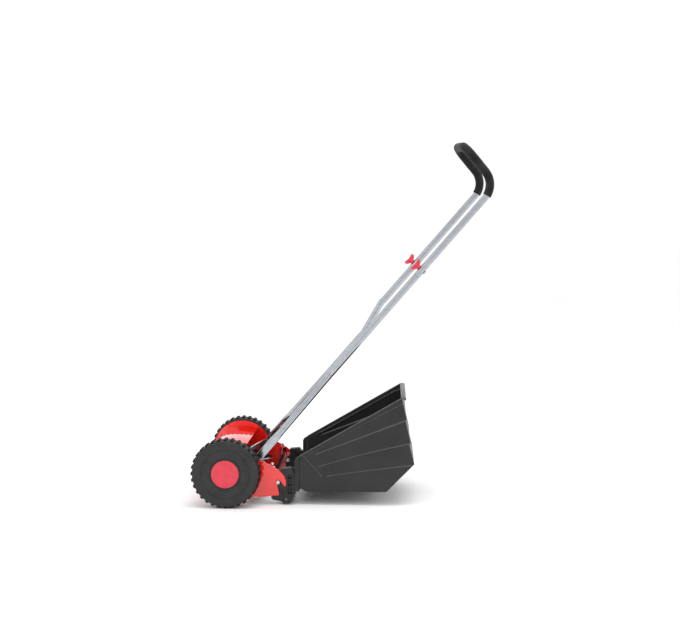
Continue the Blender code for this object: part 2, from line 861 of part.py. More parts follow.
def make_middle_tube(side, sign, datum):
    """Sleeve at its foot, reduced spigot at its head; the right one cranks up to the rolled U."""
    across = 0.0 if sign < 0 else 2 * LEG_HALF
    sleeve = [leg_vector(at, sign * LEG_HALF) for at in (LOWER_JOINT_AT, 0.390, 0.405, 0.420)]
    crank = [u_point(at, across) for at in (0.520, 0.535, 0.550)]
    shoulder = [u_point(UPPER_JOINT_AT - 2 * GAP, across)]
    spigot = [u_point(at, across) for at in (UPPER_JOINT_AT - GAP, UPPER_SPIGOT_END)]
    stations = round_stations(sleeve + crank + shoulder, TUBE_R, TUBE_WALL)
    stations += round_stations(spigot, SPIGOT_R, TUBE_WALL)
    tube = piece(f"middle_tube_{side}", hollow_tube(stations, slope_up()), "zinc", datum)
    drill_joint(tube, sign)
    combine(tube, moved_bm(knob_drill(across), handle_matrix()))


def knob_place(across):
    """The handle bolt's axis, at right angles to the leg: local Y becomes the rise."""
    return Matrix.Translation((KNOB_AT, across, 0)) @ Matrix.Rotation(math.pi / 2, 4, "X")


def knob_drill(across):
    """Drill through both walls of a leg for the handle bolt, in the upper handle's frame."""
    radius, reach = KNOB_BOLT_R + GAP, 1.5 * TUBE_R
    hole = turned([(0, -reach), (radius, -reach), (radius, reach), (0, reach)], 12)
    return moved_bm(hole, knob_place(across))


def make_joint_screws(side, sign, datum):
    outer = LEG_HALF + TUBE_R + GAP
    profile = [
        (0, LEG_HALF - 0.0095),
        (JOINT_SCREW_R, LEG_HALF - 0.0095),
        (JOINT_SCREW_R, outer),
        (0.0038, outer),
        (0.0034, outer + 0.0016),
        (0, outer + 0.0020),
    ]
    for label, station in zip(("lower", "upper"), JOINT_SCREWS_AT):
        x, z = leg_point(station)
        bm = turned(sided(profile, sign), 10)
        piece(f"joint_screw_{side}_{label}", bm, "steel", datum, (x, 0, z))


def u_route(from_leg):
    """Centre line of the U in its own frame, from one leg to the other, as a list of points.

    The foam covers it from just past the start of each elbow; the tube runs on down the legs.
    """
    centre = Vector((ELBOW_AT, 0, ELBOW_R))
    bends = [FOAM_START + (ELBOW_TURN - FOAM_START) * k / 6 for k in range(7)]
    half = [Vector((UPPER_JOINT_AT, 0, 0))] if from_leg else []
    for angle in [0.0, *bends] if from_leg else bends:
        half.append(centre + ELBOW_R * Vector((math.sin(angle), 0, -math.cos(angle))))
    ahead = Vector((math.cos(ELBOW_TURN), 0, math.sin(ELBOW_TURN)))
    corner = half[-1] + ahead * (ARM_LENGTH - CORNER_R) + Vector((0, CORNER_R, 0))
    for k in range(5):
        angle = math.pi / 2 * k / 4
        half.append(
            corner + CORNER_R * (math.sin(angle) * ahead - math.cos(angle) * Vector((0, 1, 0)))
        )
    other = [Vector((p.x, 2 * LEG_HALF - p.y, p.z)) for p in reversed(half)]
    return half + other


def make_upper_handle(handle):
    route = u_route(True)
    bm = hollow_tube(round_stations(route, TUBE_R, TUBE_WALL), Vector((0, 0, 1)))
    tube = piece("upper_handle", bm, "zinc", handle)
    for across in (0.0, 2 * LEG_HALF):
        combine(tube, knob_drill(across))


def make_foam_grip(handle):
    route = u_route(False)
    stations = round_stations(route, FOAM_R, FOAM_R - TUBE_R - GAP)
    piece("foam_grip", hollow_tube(stations, Vector((0, 0, 1))), "foam", handle)


def make_knob(side, across, knob_axis):
    """Bolt from below through the leg, and the wing nut on top of it."""
    base = TUBE_R + GAP
    bolt = [
        (0, -base - 0.0035),
        (0.0040, -base - 0.0035),
        (0.0062, -base - 0.0015),
        (0.0062, -base),
        (KNOB_BOLT_R, -base),
        (KNOB_BOLT_R, 0.0235),
        (0, 0.0235),
    ]
    piece(f"handle_bolt_{side}", turned(bolt, 12), "steel", knob_axis)
    collar = [(0, base), (0.0075, base), (0.0065, 0.0230), (0, 0.0230)]
    nut = piece(f"wing_nut_{side}", turned(collar, 16), "red_plastic", knob_axis)
    wings = [
        (-0.0085, 0.0150),
        (0.0085, 0.0150),
        (0.0180, 0.0215),
        (0.0180, 0.0300),
        (0.0085, 0.0285),
        (0.0, 0.0270),
        (-0.0085, 0.0285),
        (-0.0180, 0.0300),
        (-0.0180, 0.0215),
    ]
    wings_bm = moved_bm(prism([wings], -0.0030, 0.0030), Matrix.Rotation(-math.pi / 2, 4, "X"))
    combine(nut, wings_bm, "UNION")
    bore = KNOB_BOLT_R + GAP
    combine(nut, turned([(0, 0.005), (bore, 0.005), (bore, 0.0245), (0, 0.0245)], 12))


# ---------------------------------------------------------------- catcher


def make_catcher_tub(catcher):
    """Thin-walled scoop, open at the top and at the front, with a lip on its rear rim."""
    outer = [
        (0.2130, 0.1470),
        (0.5160, 0.3222),
        (0.5265, 0.3200),
        (0.5262, 0.3170),
        (0.5185, 0.3140),
        (0.5290, 0.2560),
        (0.5410, 0.1880),
        (0.5535, 0.1260),
        (0.4710, 0.0420),
        (0.2370, 0.0390),
        (0.2170, 0.0500),
        (0.2130, 0.0530),
    ]
    inner = [
        (0.2000, 0.0625),
        (0.2180, 0.0520),
        (0.2376, 0.0411),
        (0.4702, 0.0440),
        (0.5513, 0.1264),
        (0.5390, 0.1880),
        (0.5270, 0.2560),
        (0.5120, 0.3400),
        (0.2000, 0.1700),
    ]
    half, inside = CATCHER_HALF, CATCHER_HALF - CATCHER_WALL
    tub = piece("catcher_tub", prism([outer], -half, half), "catcher_plastic", catcher)
    combine(tub, prism([inner], -inside, inside))


def make_catcher_frame(catcher):
    """U-shaped mouth frame with two open hooks that hang on the brackets' pegs."""
    half, post, sill = CATCHER_HALF, 0.1435, 0.0500
    top, low = 0.1300, 0.0410
    u_edge = [
        (-half, low),
        (half, low),
        (half, top),
        (post, top),
        (post, sill),
        (-post, sill),
        (-post, top),
        (-half, top),
    ]
    quarter = Matrix.Rotation(math.pi / 2, 4, "Z")
    bm = moved_bm(prism([u_edge], -FRAME_X1, -FRAME_X0), quarter)
    frame = piece("catcher_frame", bm, "black_plastic", catcher)
    bend = 0.0044
    hook = [
        *arc(HOOK_X, HOOK_Z, 0.0085, math.pi, math.pi / 3, 6),
        (0.2050, HOOK_Z + 0.0074),
        (0.2050, HOOK_Z - 0.0060),
        (HOOK_X + bend, HOOK_Z - 0.0060),
        *arc(HOOK_X, HOOK_Z, bend, 0, math.pi, 8),
        (HOOK_X - bend, HOOK_Z - 0.0050),
        (HOOK_X - 0.0085, HOOK_Z - 0.0050),
    ]
    crown = [
        (FRAME_X0, 0.1250),
        (FRAME_X1, 0.1250),
        (FRAME_X1, 0.1465),
        (0.2070, 0.1437),
        (0.2020, 0.1395),
        (FRAME_X0, 0.1335),
    ]
    for _, sign in SIDES:
        combine(frame, prism([crown], sign * post, sign * half), "UNION")
        combine(frame, prism([hook], sign * 0.1165, sign * 0.1265), "UNION")
        low_y, high_y = sorted((sign * 0.1165, sign * 0.1450))
        rib = block((FRAME_X0, low_y, HOOK_Z - 0.0060), (FRAME_X1, high_y, HOOK_Z + 0.0074))
        combine(frame, rib, "UNION")


# ---------------------------------------------------------------- assembly


def main():
    clear_scene()
    datum = empty("mower_datum", Matrix.Translation((AXLE_X, 0, 0)))
    reel_axis = empty("reel_axis", Matrix.Translation((REEL_X, 0, REEL_Z)), datum)
    carriage = empty("roller_carriage", Matrix.Identity(4), datum)
    catcher = empty("catcher_hooks", Matrix.Identity(4), datum)
    handle = empty("handle_frame", handle_matrix(), datum)
    axle = empty("wheel_axle", Matrix.Translation((0, 0, WHEEL_R)), datum)

    make_top_cover(datum)
    make_knife_bar(datum)
    make_bed_knife(datum)
    make_reel_shaft(reel_axis)
    make_roller(carriage)
    for index in range(BLADE_COUNT):
        make_blade(index, reel_axis)
    reel_end = REEL_HALF - 0.0095
    for name, y in (("left", -reel_end), ("centre", 0.0), ("right", reel_end)):
        make_spider(f"reel_spider_{name}", y, reel_axis)
    for side, sign in SIDES:
        make_side_plate(side, sign, datum)
        make_axle_stub(side, sign, axle)
        make_wheel(side, sign, axle)
        make_hub_cap(side, sign, axle)
        make_pinion(side, sign, reel_axis)
        make_pawl(side, sign, reel_axis)
        make_bearing(side, sign, reel_axis)
        make_knife_screw(side, sign, datum)
        make_roller_bracket(side, sign, carriage)
        make_height_bolt(side, sign, carriage)
        make_height_nut(side, sign, carriage)
        make_strap(side, sign, datum)
        make_strap_bolts(side, sign, datum)
        make_tube_screw(side, sign, datum)
        make_lower_tube(side, sign, datum)
        make_middle_tube(side, sign, datum)
        make_joint_screws(side, sign, datum)
        across = 0.0 if sign < 0 else 2 * LEG_HALF
        knob_axis = empty(f"knob_axis_{side}", knob_place(across), handle)
        make_knob(side, across, knob_axis)
    make_upper_handle(handle)
    make_foam_grip(handle)
    make_catcher_tub(catcher)
    make_catcher_frame(catcher)


main()
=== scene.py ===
"""Looks of a hand-pushed reel mower: finishes, turned and moulded pieces, stage and camera.

Shapes are given in the axle frame: X = 0 at the wheel axle, pointing to the rear, and Z = 0 on
the ground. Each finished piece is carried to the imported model's own frame by AXLE_X.
"""

import json
import math

import bmesh
import bpy
from bpy.props import FloatProperty, FloatVectorProperty, IntProperty, PointerProperty
from mathutils import Matrix, Vector, kdtree, noise

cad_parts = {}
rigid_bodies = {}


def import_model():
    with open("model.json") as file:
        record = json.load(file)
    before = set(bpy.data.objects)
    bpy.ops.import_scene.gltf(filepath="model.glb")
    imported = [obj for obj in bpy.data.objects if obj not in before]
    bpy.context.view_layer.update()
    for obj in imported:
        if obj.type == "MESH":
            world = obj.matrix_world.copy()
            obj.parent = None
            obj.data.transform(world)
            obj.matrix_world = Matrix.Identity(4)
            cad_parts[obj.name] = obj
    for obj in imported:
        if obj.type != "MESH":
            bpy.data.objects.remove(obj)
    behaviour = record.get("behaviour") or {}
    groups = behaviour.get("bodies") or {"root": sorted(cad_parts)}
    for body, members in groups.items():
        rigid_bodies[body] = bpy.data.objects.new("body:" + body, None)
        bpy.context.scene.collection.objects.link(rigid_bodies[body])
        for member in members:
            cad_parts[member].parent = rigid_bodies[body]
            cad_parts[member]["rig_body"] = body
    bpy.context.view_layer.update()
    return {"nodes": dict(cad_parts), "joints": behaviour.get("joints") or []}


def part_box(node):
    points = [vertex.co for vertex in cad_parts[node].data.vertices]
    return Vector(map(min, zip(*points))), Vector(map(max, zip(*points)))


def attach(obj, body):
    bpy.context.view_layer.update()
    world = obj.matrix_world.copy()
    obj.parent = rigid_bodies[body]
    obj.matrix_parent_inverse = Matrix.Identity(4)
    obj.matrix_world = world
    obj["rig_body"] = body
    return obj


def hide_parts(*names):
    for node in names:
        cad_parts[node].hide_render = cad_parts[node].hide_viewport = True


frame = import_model()

bl_info = {
    "name": "Reel Mower Finishes",
    "version": (1, 0, 0),
    "blender": (4, 5, 0),
    "location": "View3D > Sidebar > Mower",
    "description": "Builds the visible pieces of a hand-pushed reel mower on its packed model",
    "category": "Object",
}


def middle(node):
    low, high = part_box(node)
    return (low + high) / 2


def reach(node, axis):
    low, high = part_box(node)
    return (high - low)[axis] / 2


AXLE_X = middle("axle_stub_left").x
AXLE_Z = middle("axle_stub_left").z
WHEEL_R = reach("wheel_left", 2)
REEL_X = middle("reel_shaft").x - AXLE_X
REEL_Z = middle("reel_shaft").z
REEL_R = 0.0590
REEL_HALF = reach("reel_blade_1", 1)
ROLLER_X = middle("roller_rod").x - AXLE_X
ROLLER_Z = middle("roller_rod").z
ROD_R = reach("roller_rod", 2)
HOOK = (0.182, 0.098)
SIDES = (("left", -1.0), ("right", 1.0))

TUBE_R = 0.010
TUBE_WALL = 0.001
SPIGOT_R = 0.0087
LEG_HALF = 0.087
STRAP_Y = 0.1475
HANDLE_X, HANDLE_Z = 0.1237, 0.178
HANDLE_SLOPE = math.radians(49.06)
HANDLE_ROLL = math.radians(6.3)
LOWER_JOINT_AT = 0.2713
UPPER_JOINT_AT = 0.664
ELBOW_AT = 0.965
ELBOW_R = 0.060
ELBOW_TURN = math.radians(81)
ARM_LENGTH = 0.0941
CORNER_R = 0.040
FOAM_R = 0.0130
FOAM_START = math.radians(9.5)
FOAM_WAVES = ((70.0, 0.00022), (260.0, 0.00008))  # scale and height
CREASE_PITCH, CREASE_DEPTH = 0.0065, 0.00040
SCREW_RECESS = 0.0011
CROSS_HALF = 0.0024
CROSS_WIDTH = 0.0008
CROSS_CLEAR = 0.002


# ---------------------------------------------------------------- settings


class MowerSizes(bpy.types.PropertyGroup):
    lug_count: IntProperty(name="Lugs", description="Tread lugs on each wheel", default=32, min=12)
    lug_share: FloatProperty(
        name="Lug share", description="Part of the tread's pitch that a lug takes", default=0.5
    )
    tube_sides: IntProperty(
        name="Tube sides", description="Flats round each handle tube", default=36, min=12
    )
    catcher_wall: FloatProperty(
        name="Catcher wall",
        description="Thickness of the catcher's moulding",
        default=0.0020,
        subtype="DISTANCE",
        unit="LENGTH",
    )
    fold_step: FloatProperty(
        name="Fold step",
        description="How far each band of the catcher's side stands proud of the next",
        default=0.0021,
        subtype="DISTANCE",
        unit="LENGTH",
    )


def colour_setting(name, description, default):
    return FloatVectorProperty(
        name=name, description=description, subtype="COLOR", default=default
    )


class MowerColours(bpy.types.PropertyGroup):
    enamel: colour_setting("Enamel", "Red paint", (0.78, 0.014, 0.008))
    cap_red: colour_setting("Red plastic", "Hub caps and wing nuts", (0.66, 0.035, 0.060))
    tyre: colour_setting("Wheel", "Wheel plastic", (0.022, 0.022, 0.023))
    bag: colour_setting("Catcher", "Catcher plastic", (0.017, 0.017, 0.017))
    plating: colour_setting("Zinc", "Zinc plating", (0.40, 0.42, 0.455))


# ---------------------------------------------------------------- finishes


EVEN = (1.0, 1.0, 1.0)  # a texture stretched alike in every direction


def new_finish(name):
    made = bpy.data.materials.new(name)
    made.use_nodes = True
    return made, made.node_tree.nodes, made.node_tree.links


def pattern(nodes, links, kind, stretch, scale, detail=4.0, turn=0.0):
    """A texture on Object coordinates, stretched by its Mapping node. Returns the texture."""
    where = nodes.new("ShaderNodeTexCoord")
    mapping = nodes.new("ShaderNodeMapping")
    mapping.inputs["Scale"].default_value = stretch
    mapping.inputs["Rotation"].default_value = (0.0, turn, 0.0)
    links.new(where.outputs["Object"], mapping.inputs["Vector"])
    texture = nodes.new(kind)
    texture.inputs["Scale"].default_value = scale
    if "Detail" in texture.inputs:
        texture.inputs["Detail"].default_value = detail
    links.new(mapping.outputs["Vector"], texture.inputs["Vector"])
    return texture


def ramp(nodes, links, source, low, high, start=0.35, end=0.65):
    """Runs a texture's value between two colours."""
    made = nodes.new("ShaderNodeValToRGB")
    made.color_ramp.elements[0].position = start
    made.color_ramp.elements[1].position = end
    made.color_ramp.elements[0].color = (*low, 1.0)
    made.color_ramp.elements[1].color = (*high, 1.0)
    links.new(source, made.inputs["Fac"])
    return made.outputs["Color"]


def spread(nodes, links, source, low, high):
    """Runs a texture's value between two numbers."""
    made = nodes.new("ShaderNodeMapRange")
    made.inputs["From Min"].default_value = 0.3
    made.inputs["From Max"].default_value = 0.7
    made.inputs["To Min"].default_value = low
    made.inputs["To Max"].default_value = high
    links.new(source, made.inputs["Value"])
    return made.outputs["Result"]


def bump(nodes, links, source, height, shader):
    made = nodes.new("ShaderNodeBump")
    made.inputs["Strength"].default_value = 1.0
    made.inputs["Distance"].default_value = height
    links.new(source, made.inputs["Height"])
    links.new(made.outputs["Normal"], shader.inputs["Normal"])


def shade(colour, amount):
    return tuple(min(1.0, part * amount) for part in colour)


# name: (tone spread, tone scale, roughness low and high, grain scale, grain height, metallic)
FINISHES = {
    "enamel": ((0.93, 1.06), 14.0, (0.05, 0.10), 420.0, 0.000004, 0.0),
    "cap_red": ((0.92, 1.07), 60.0, (0.36, 0.48), 1400.0, 0.000030, 0.0),
    "tyre": ((0.80, 1.25), 34.0, (0.50, 0.66), 900.0, 0.000060, 0.0),
    "bag": ((0.84, 1.22), 9.0, (0.36, 0.50), 1100.0, 0.000035, 0.0),
    "bracket_black": ((0.75, 1.30), 30.0, (0.34, 0.52), 1000.0, 0.000045, 0.0),
    "reel_black": ((0.70, 1.25), 45.0, (0.30, 0.46), 600.0, 0.000030, 0.0),
    "bright_steel": ((0.86, 1.06), 120.0, (0.16, 0.30), 1500.0, 0.000004, 1.0),
    "worn_steel": ((0.70, 1.10), 160.0, (0.30, 0.50), 1200.0, 0.000012, 1.0),
    # bag_edge: the catcher plastic made lighter, a painted highlight on its fold ledges, rim, ribs
    # and seams
    "bag_edge": ((0.84, 1.18), 60.0, (0.30, 0.42), 900.0, 0.000020, 0.0),
    # lug_black: the wheel's own plastic made darker and duller on the lugs, painted shade for their
    # shaded sides
    "lug_black": ((0.75, 1.25), 40.0, (0.50, 0.66), 900.0, 0.000060, 0.0),
    "bronze": ((0.85, 1.08), 90.0, (0.26, 0.42), 900.0, 0.000015, 1.0),
}
# How strongly the duller finishes reflect
SHINE = {"enamel": 0.42, "tyre": 0.34, "bag": 0.34, "bracket_black": 0.34, "lug_black": 0.16}
FIXED_COLOURS = {
    "bracket_black": (0.015, 0.015, 0.016),
    "reel_black": (0.010, 0.010, 0.011),
    "bright_steel": (0.62, 0.62, 0.63),
    "worn_steel": (0.16, 0.155, 0.15),
    # Lugs: painted shade, darker than the wheel plastic they are moulded from
    "lug_black": (0.007, 0.007, 0.008),
    # Catcher ledges and rim: painted highlight, lighter than the catcher plastic
    "bag_edge": (0.050, 0.050, 0.051),
    "bronze": (0.52, 0.35, 0.16),
}


def make_plain_finish(name, colour):
    """Paint, moulded plastic or plain metal: uneven tone, uneven polish and a fine grain."""
    (dark, light), tone_scale, (smooth, rough), grain_scale, grain_height, metallic = FINISHES[name]
    made, nodes, links = new_finish(name)
    shader = nodes["Principled BSDF"]
    shader.inputs["Metallic"].default_value = metallic
    shader.inputs["Specular IOR Level"].default_value = SHINE.get(name, 0.5)
    tone = pattern(nodes, links, "ShaderNodeTexNoise", EVEN, tone_scale)
    mixed = ramp(nodes, links, tone.outputs["Fac"], shade(colour, dark), shade(colour, light))
    links.new(mixed, shader.inputs["Base Color"])
    polish = pattern(nodes, links, "ShaderNodeTexNoise", EVEN, tone_scale * 3.7, 6.0)
    links.new(
        spread(nodes, links, polish.outputs["Fac"], smooth, rough), shader.inputs["Roughness"]
    )
    grain = pattern(nodes, links, "ShaderNodeTexNoise", EVEN, grain_scale, 3.0)
    bump(nodes, links, grain.outputs["Fac"], grain_height, shader)
    return made, shader


def make_zinc(colour):
    """Drawn tube: streaks that run up the handle, clouded by the plating's bloom."""
    made, nodes, links = new_finish("zinc_tube")
    shader = nodes["Principled BSDF"]
    shader.inputs["Metallic"].default_value = 1.0
    shader.inputs["Coat Weight"].default_value = 0.3
    shader.inputs["Coat Roughness"].default_value = 0.12
    drawn = (1.2, 150.0, 150.0)
    streak = pattern(nodes, links, "ShaderNodeTexNoise", drawn, 1.0, 2.0, -HANDLE_SLOPE)
    tone = ramp(nodes, links, streak.outputs["Fac"], shade(colour, 0.92), shade(colour, 1.07))
    links.new(tone, shader.inputs["Base Color"])
    bloom = pattern(nodes, links, "ShaderNodeTexNoise", EVEN, 28.0, 6.0)
    links.new(spread(nodes, links, bloom.outputs["Fac"], 0.14, 0.24), shader.inputs["Roughness"])
    bump(nodes, links, streak.outputs["Fac"], 0.000002, shader)
    return made


def make_ground_steel():
    """Ground cutting edge: fine marks across the blade."""
    made, nodes, links = new_finish("ground_steel")
    shader = nodes["Principled BSDF"]
    shader.inputs["Metallic"].default_value = 1.0
    marks = pattern(nodes, links, "ShaderNodeTexNoise", (30.0, 1500.0, 30.0), 1.0, 3.0)
    tone = ramp(nodes, links, marks.outputs["Fac"], (0.62, 0.60, 0.56), (0.88, 0.87, 0.84))
    links.new(tone, shader.inputs["Base Color"])
    links.new(spread(nodes, links, marks.outputs["Fac"], 0.14, 0.30), shader.inputs["Roughness"])
    bump(nodes, links, marks.outputs["Fac"], 0.00001, shader)
    return made


def make_foam_finish():
    """Closed-cell foam: small open pores, a dusty sheen and paler rubbed places."""
    made, nodes, links = new_finish("foam_sleeve")
    shader = nodes["Principled BSDF"]
    shader.inputs["Sheen Weight"].default_value = 0.10
    shader.inputs["Sheen Roughness"].default_value = 0.5
    shader.inputs["Specular IOR Level"].default_value = 0.25
    rubbed = pattern(nodes, links, "ShaderNodeTexNoise", EVEN, 26.0, 8.0)
    tone = ramp(
        nodes, links, rubbed.outputs["Fac"], (0.006, 0.006, 0.007), (0.030, 0.030, 0.031), 0.45, 0.8
    )
    links.new(tone, shader.inputs["Base Color"])
    links.new(spread(nodes, links, rubbed.outputs["Fac"], 0.78, 0.95), shader.inputs["Roughness"])
    pores = pattern(nodes, links, "ShaderNodeTexVoronoi", EVEN, 850.0, 1.0)
    bump(nodes, links, pores.outputs["Distance"], 0.00025, shader)
    return made


def finish_of(name):
    return bpy.data.materials[name]


# ---------------------------------------------------------------- mesh tools


def verts_of(result):
    return [item for item in result["geom"] if isinstance(item, bmesh.types.BMVert)]


def turned(profile, steps, sign=1.0):
    """A closed ring or solid turned about Y from (radius, y) points."""
    bm = bmesh.new()
    ring = [bm.verts.new((radius, sign * y, 0)) for radius, y in profile]
    pairs = list(zip(ring, ring[1:]))
    if profile[0][0] > 0:
        pairs.append((ring[-1], ring[0]))
    edges = [bm.edges.new(pair) for pair in pairs]
    bmesh.ops.spin(
        bm,
        geom=ring + edges,
        cent=(0, 0, 0),
        axis=(0, 1, 0),
        angle=math.tau,
        steps=steps,
        use_merge=True,
    )
    bmesh.ops.remove_doubles(bm, verts=bm.verts, dist=1e-6)
    return bm


def moved(bm, matrix):
    bmesh.ops.transform(bm, matrix=matrix, verts=bm.verts)
    return bm


def shifted(bm, x=0.0, y=0.0, z=0.0):
    return moved(bm, Matrix.Translation((x, y, z)))


def joined(first, *others):
    """Adds the other meshes to the first as shells of their own."""
    for other in others:
        carrier = bpy.data.meshes.new("carrier")
        other.to_mesh(carrier)
        other.free()
        first.from_mesh(carrier)
        bpy.data.meshes.remove(carrier)
    return first


def slab(outline, y0, y1):
    """An XZ outline thickened between two Y values."""
    bm = bmesh.new()
    ring = [bm.verts.new((x, y0, z)) for x, z in outline]
    edges = [bm.edges.new(pair) for pair in zip(ring, ring[1:] + ring[:1])]
    bmesh.ops.triangle_fill(bm, use_beauty=True, use_dissolve=True, edges=edges)
    grown = bmesh.ops.extrude_face_region(bm, geom=bm.faces[:])
    bmesh.ops.translate(bm, verts=verts_of(grown), vec=(0, y1 - y0, 0))
    return bm


def bevel_edges(bm, edges, width, segments):
    bmesh.ops.bevel(
        bm,
        geom=edges,
        offset=width,
        offset_type="OFFSET",
        affect="EDGES",
        segments=segments,
        profile=0.5,
        material=-1,
        clamp_overlap=True,
    )


def soften(bm, width, segments=2, above=35.0):
    """Rounds every edge that is sharper than an angle."""
    sharp = [edge for edge in bm.edges if edge.calc_face_angle(0.0) > math.radians(above)]
    bevel_edges(bm, sharp, width, segments)
    return bm


def smooth_line(points, each):
    """A finer line through the same points, rounded where it turns."""
    line = []
    for k in range(len(points) - 1):
        before, start = points[max(k - 1, 0)], points[k]
        end, after = points[k + 1], points[min(k + 2, len(points) - 1)]
        for step in range(each):
            t = step / each
            line.append(
                0.5
                * (
                    2 * start
                    + t * (end - before)
                    + t**2 * (2 * before - 5 * start + 4 * end - after)
                    + t**3 * (3 * start - before - 3 * end + after)
                )
            )
    line.append(points[-1].copy())
    return line


def rings_along(bm, stations, up, sides):
    """Circles set across a path. Each station is (point, half along up, half across, power)."""
    points = [station[0] for station in stations]
    across, made = up, []
    for k, (point, half_n, half_b, power) in enumerate(stations):
        ahead = (points[min(k + 1, len(points) - 1)] - points[max(k - 1, 0)]).normalized()
        across = (across - across.dot(ahead) * ahead).normalized()
        side = ahead.cross(across)
        ring = bmesh.ops.create_circle(bm, segments=sides, radius=1.0)["verts"]
        for vert in ring:
            c, s = vert.co.x, vert.co.y
            n = half_n * math.copysign(abs(c) ** (2 / power), c)
            b = half_b * math.copysign(abs(s) ** (2 / power), s)
            vert.co = point + n * across + b * side
        made.append(ring)
    return made


def ring_edges(ring):
    inside = set(ring)
    return list({e for v in ring for e in v.link_edges if e.other_vert(v) in inside})


def pipe(stations, up, sides, wall=None):
    """A tube swept through its stations: hollow with square ends, or solid when wall is None."""
    bm = bmesh.new()
    rings = rings_along(bm, stations, up, sides)
    if wall is not None:
        bored = [(p, n - wall, b - wall, power) for p, n, b, power in stations]
        rings += rings_along(bm, bored, up, sides)[::-1]
        rings.append(rings[0])
    loops = [ring_edges(ring) for ring in rings]
    for lower, upper in zip(loops, loops[1:]):
        bmesh.ops.bridge_loops(bm, edges=lower + upper)
    if wall is None:
        bmesh.ops.holes_fill(bm, edges=[edge for edge in bm.edges if edge.is_boundary])
    return bm


# What round_up takes for a circle's flat, in metres and radians
LEVEL_GAP = 1e-5
RADIUS_GAP = 2e-5
SPOT_GAP = 2e-6
LEAST_RADIUS = 0.0015
FLAT_TURN = (0.02, math.radians(50))
LEAST_ARC = 1.5


def off_axis(spot, centre, direction):
    """How far along an axis a spot lies, and its offset square to the axis."""
    along = (spot - centre).dot(direction)
    return along, spot - centre - along * direction


def flats_of(bm, centre, direction):
    """Edges that are flats of circles about an axis, leaving out stray ones."""
    circles = {}
    for edge in bm.edges:
        (h0, out0), (h1, out1) = (off_axis(vert.co, centre, direction) for vert in edge.verts)
        radius = out0.length
        uneven = abs(h0 - h1) >= LEVEL_GAP or abs(radius - out1.length) > RADIUS_GAP
        if uneven or radius < LEAST_RADIUS:
            continue
        turn = out0.angle(out1, 0.0)
        if FLAT_TURN[0] < turn < FLAT_TURN[1]:
            circles.setdefault((round(h0, 4), round(radius, 4)), []).append((edge, turn))
    whole = [rows for rows in circles.values() if sum(turn for _, turn in rows) > LEAST_ARC]
    return [edge for rows in whole for edge, _ in rows]


def round_up(bm, axes, cuts):
    """Splits the flats of faceted circles about the axes, and moves the new points out."""
    for centre, direction in axes:
        flats = flats_of(bm, centre, direction)
        if not flats:
            continue
        spots = []
        for edge in flats:
            start, end = (vert.co.copy() for vert in edge.verts)
            radius = off_axis(start, centre, direction)[1].length
            spots += [(start.lerp(end, k / (cuts + 1)), radius) for k in range(1, cuts + 1)]
        tree = kdtree.KDTree(len(spots))
        for index, (spot, _) in enumerate(spots):
            tree.insert(spot, index)
        tree.balance()
        old = set(bm.verts)
        bmesh.ops.subdivide_edges(bm, edges=flats, cuts=cuts, use_grid_fill=True)
        for vert in (vert for vert in bm.verts if vert not in old):
            _, index, gap = tree.find(vert.co)
            if gap < SPOT_GAP:
                out = off_axis(vert.co, centre, direction)[1]
                vert.co += out.normalized() * (spots[index][1] - out.length)
    return bm


def reworked(node, axes=(), cuts=2):
    """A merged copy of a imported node, its flats dissolved and its circles made finer."""
    bm = bmesh.new()
    bm.from_mesh(frame["nodes"][node].data)
    bmesh.ops.remove_doubles(bm, verts=bm.verts, dist=2e-6)
    bmesh.ops.dissolve_limit(bm, angle_limit=math.radians(0.8), verts=bm.verts, edges=bm.edges)
    return shifted(round_up(bm, axes, cuts), x=-AXLE_X)


def y_axis(x, z):
    """An axis along Y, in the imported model's frame, from a place in the axle frame."""
    return Vector((x + AXLE_X, 0.0, z)), Vector((0.0, 1.0, 0.0))


def node_axis(node, direction=(0.0, 1.0, 0.0)):
    return middle(node), Vector(direction)


def joint_axis(name):
    joint = next(item for item in frame["joints"] if item["name"] == name)
    return Vector(joint["pos_m"]), Vector(joint["axis"]).normalized()


def finished(bm, name, looks, slot, *nodes, sharp=32.0):
    """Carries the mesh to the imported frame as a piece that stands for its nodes."""
    shifted(bm, x=AXLE_X)
    bmesh.ops.recalc_face_normals(bm, faces=bm.faces)
    mesh = bpy.data.meshes.new(name)
    bm.to_mesh(mesh)
    bm.free()
    mesh.shade_smooth()
    mesh.set_sharp_from_angle(angle=math.radians(sharp))
    for look in looks:
        mesh.materials.append(finish_of(look))
    piece = bpy.data.objects.new(name, mesh)
    bpy.context.scene.collection.objects.link(piece)
    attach(piece, frame["nodes"][nodes[0]]["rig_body"])
    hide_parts(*nodes)
    return piece


def even_light(piece):
    """Weights the normals so that flat faces stay flat beside their rounded edges."""
    step = piece.modifiers.new("even_light", "WEIGHTED_NORMAL")
    step.keep_sharp = True


def rounded(node, ending, look, slot, width, axes=(), cuts=3, segments=2):
    """A piece that is its node's own shape with finer circles and rounded edges."""
    bm = soften(reworked(node, axes, cuts), width, segments)
    return finished(bm, f"{node}_{ending}", [look], slot, node)


def carve(piece, tool_bm):
    """Cuts a shape given in the axle frame out of a finished piece, and keeps its finish."""
    shifted(tool_bm, x=AXLE_X)
    bmesh.ops.recalc_face_normals(tool_bm, faces=tool_bm.faces)
    tool_mesh = bpy.data.meshes.new("carving")
    tool_bm.to_mesh(tool_mesh)
    tool_bm.free()
    tool = bpy.data.objects.new("carving", tool_mesh)
    bpy.context.scene.collection.objects.link(tool)
    step = piece.modifiers.new("carving", "BOOLEAN")
    step.operation = "DIFFERENCE"
    step.solver = "EXACT"
    step.object = tool
    seen = piece.evaluated_get(bpy.context.evaluated_depsgraph_get())
    cut = bpy.data.meshes.new_from_object(seen)
    piece.modifiers.remove(step)
    piece.data = cut
    bpy.data.objects.remove(tool)
    cut.shade_smooth()
    cut.set_sharp_from_angle(angle=math.radians(32))


# ---------------------------------------------------------------- wheels and drive

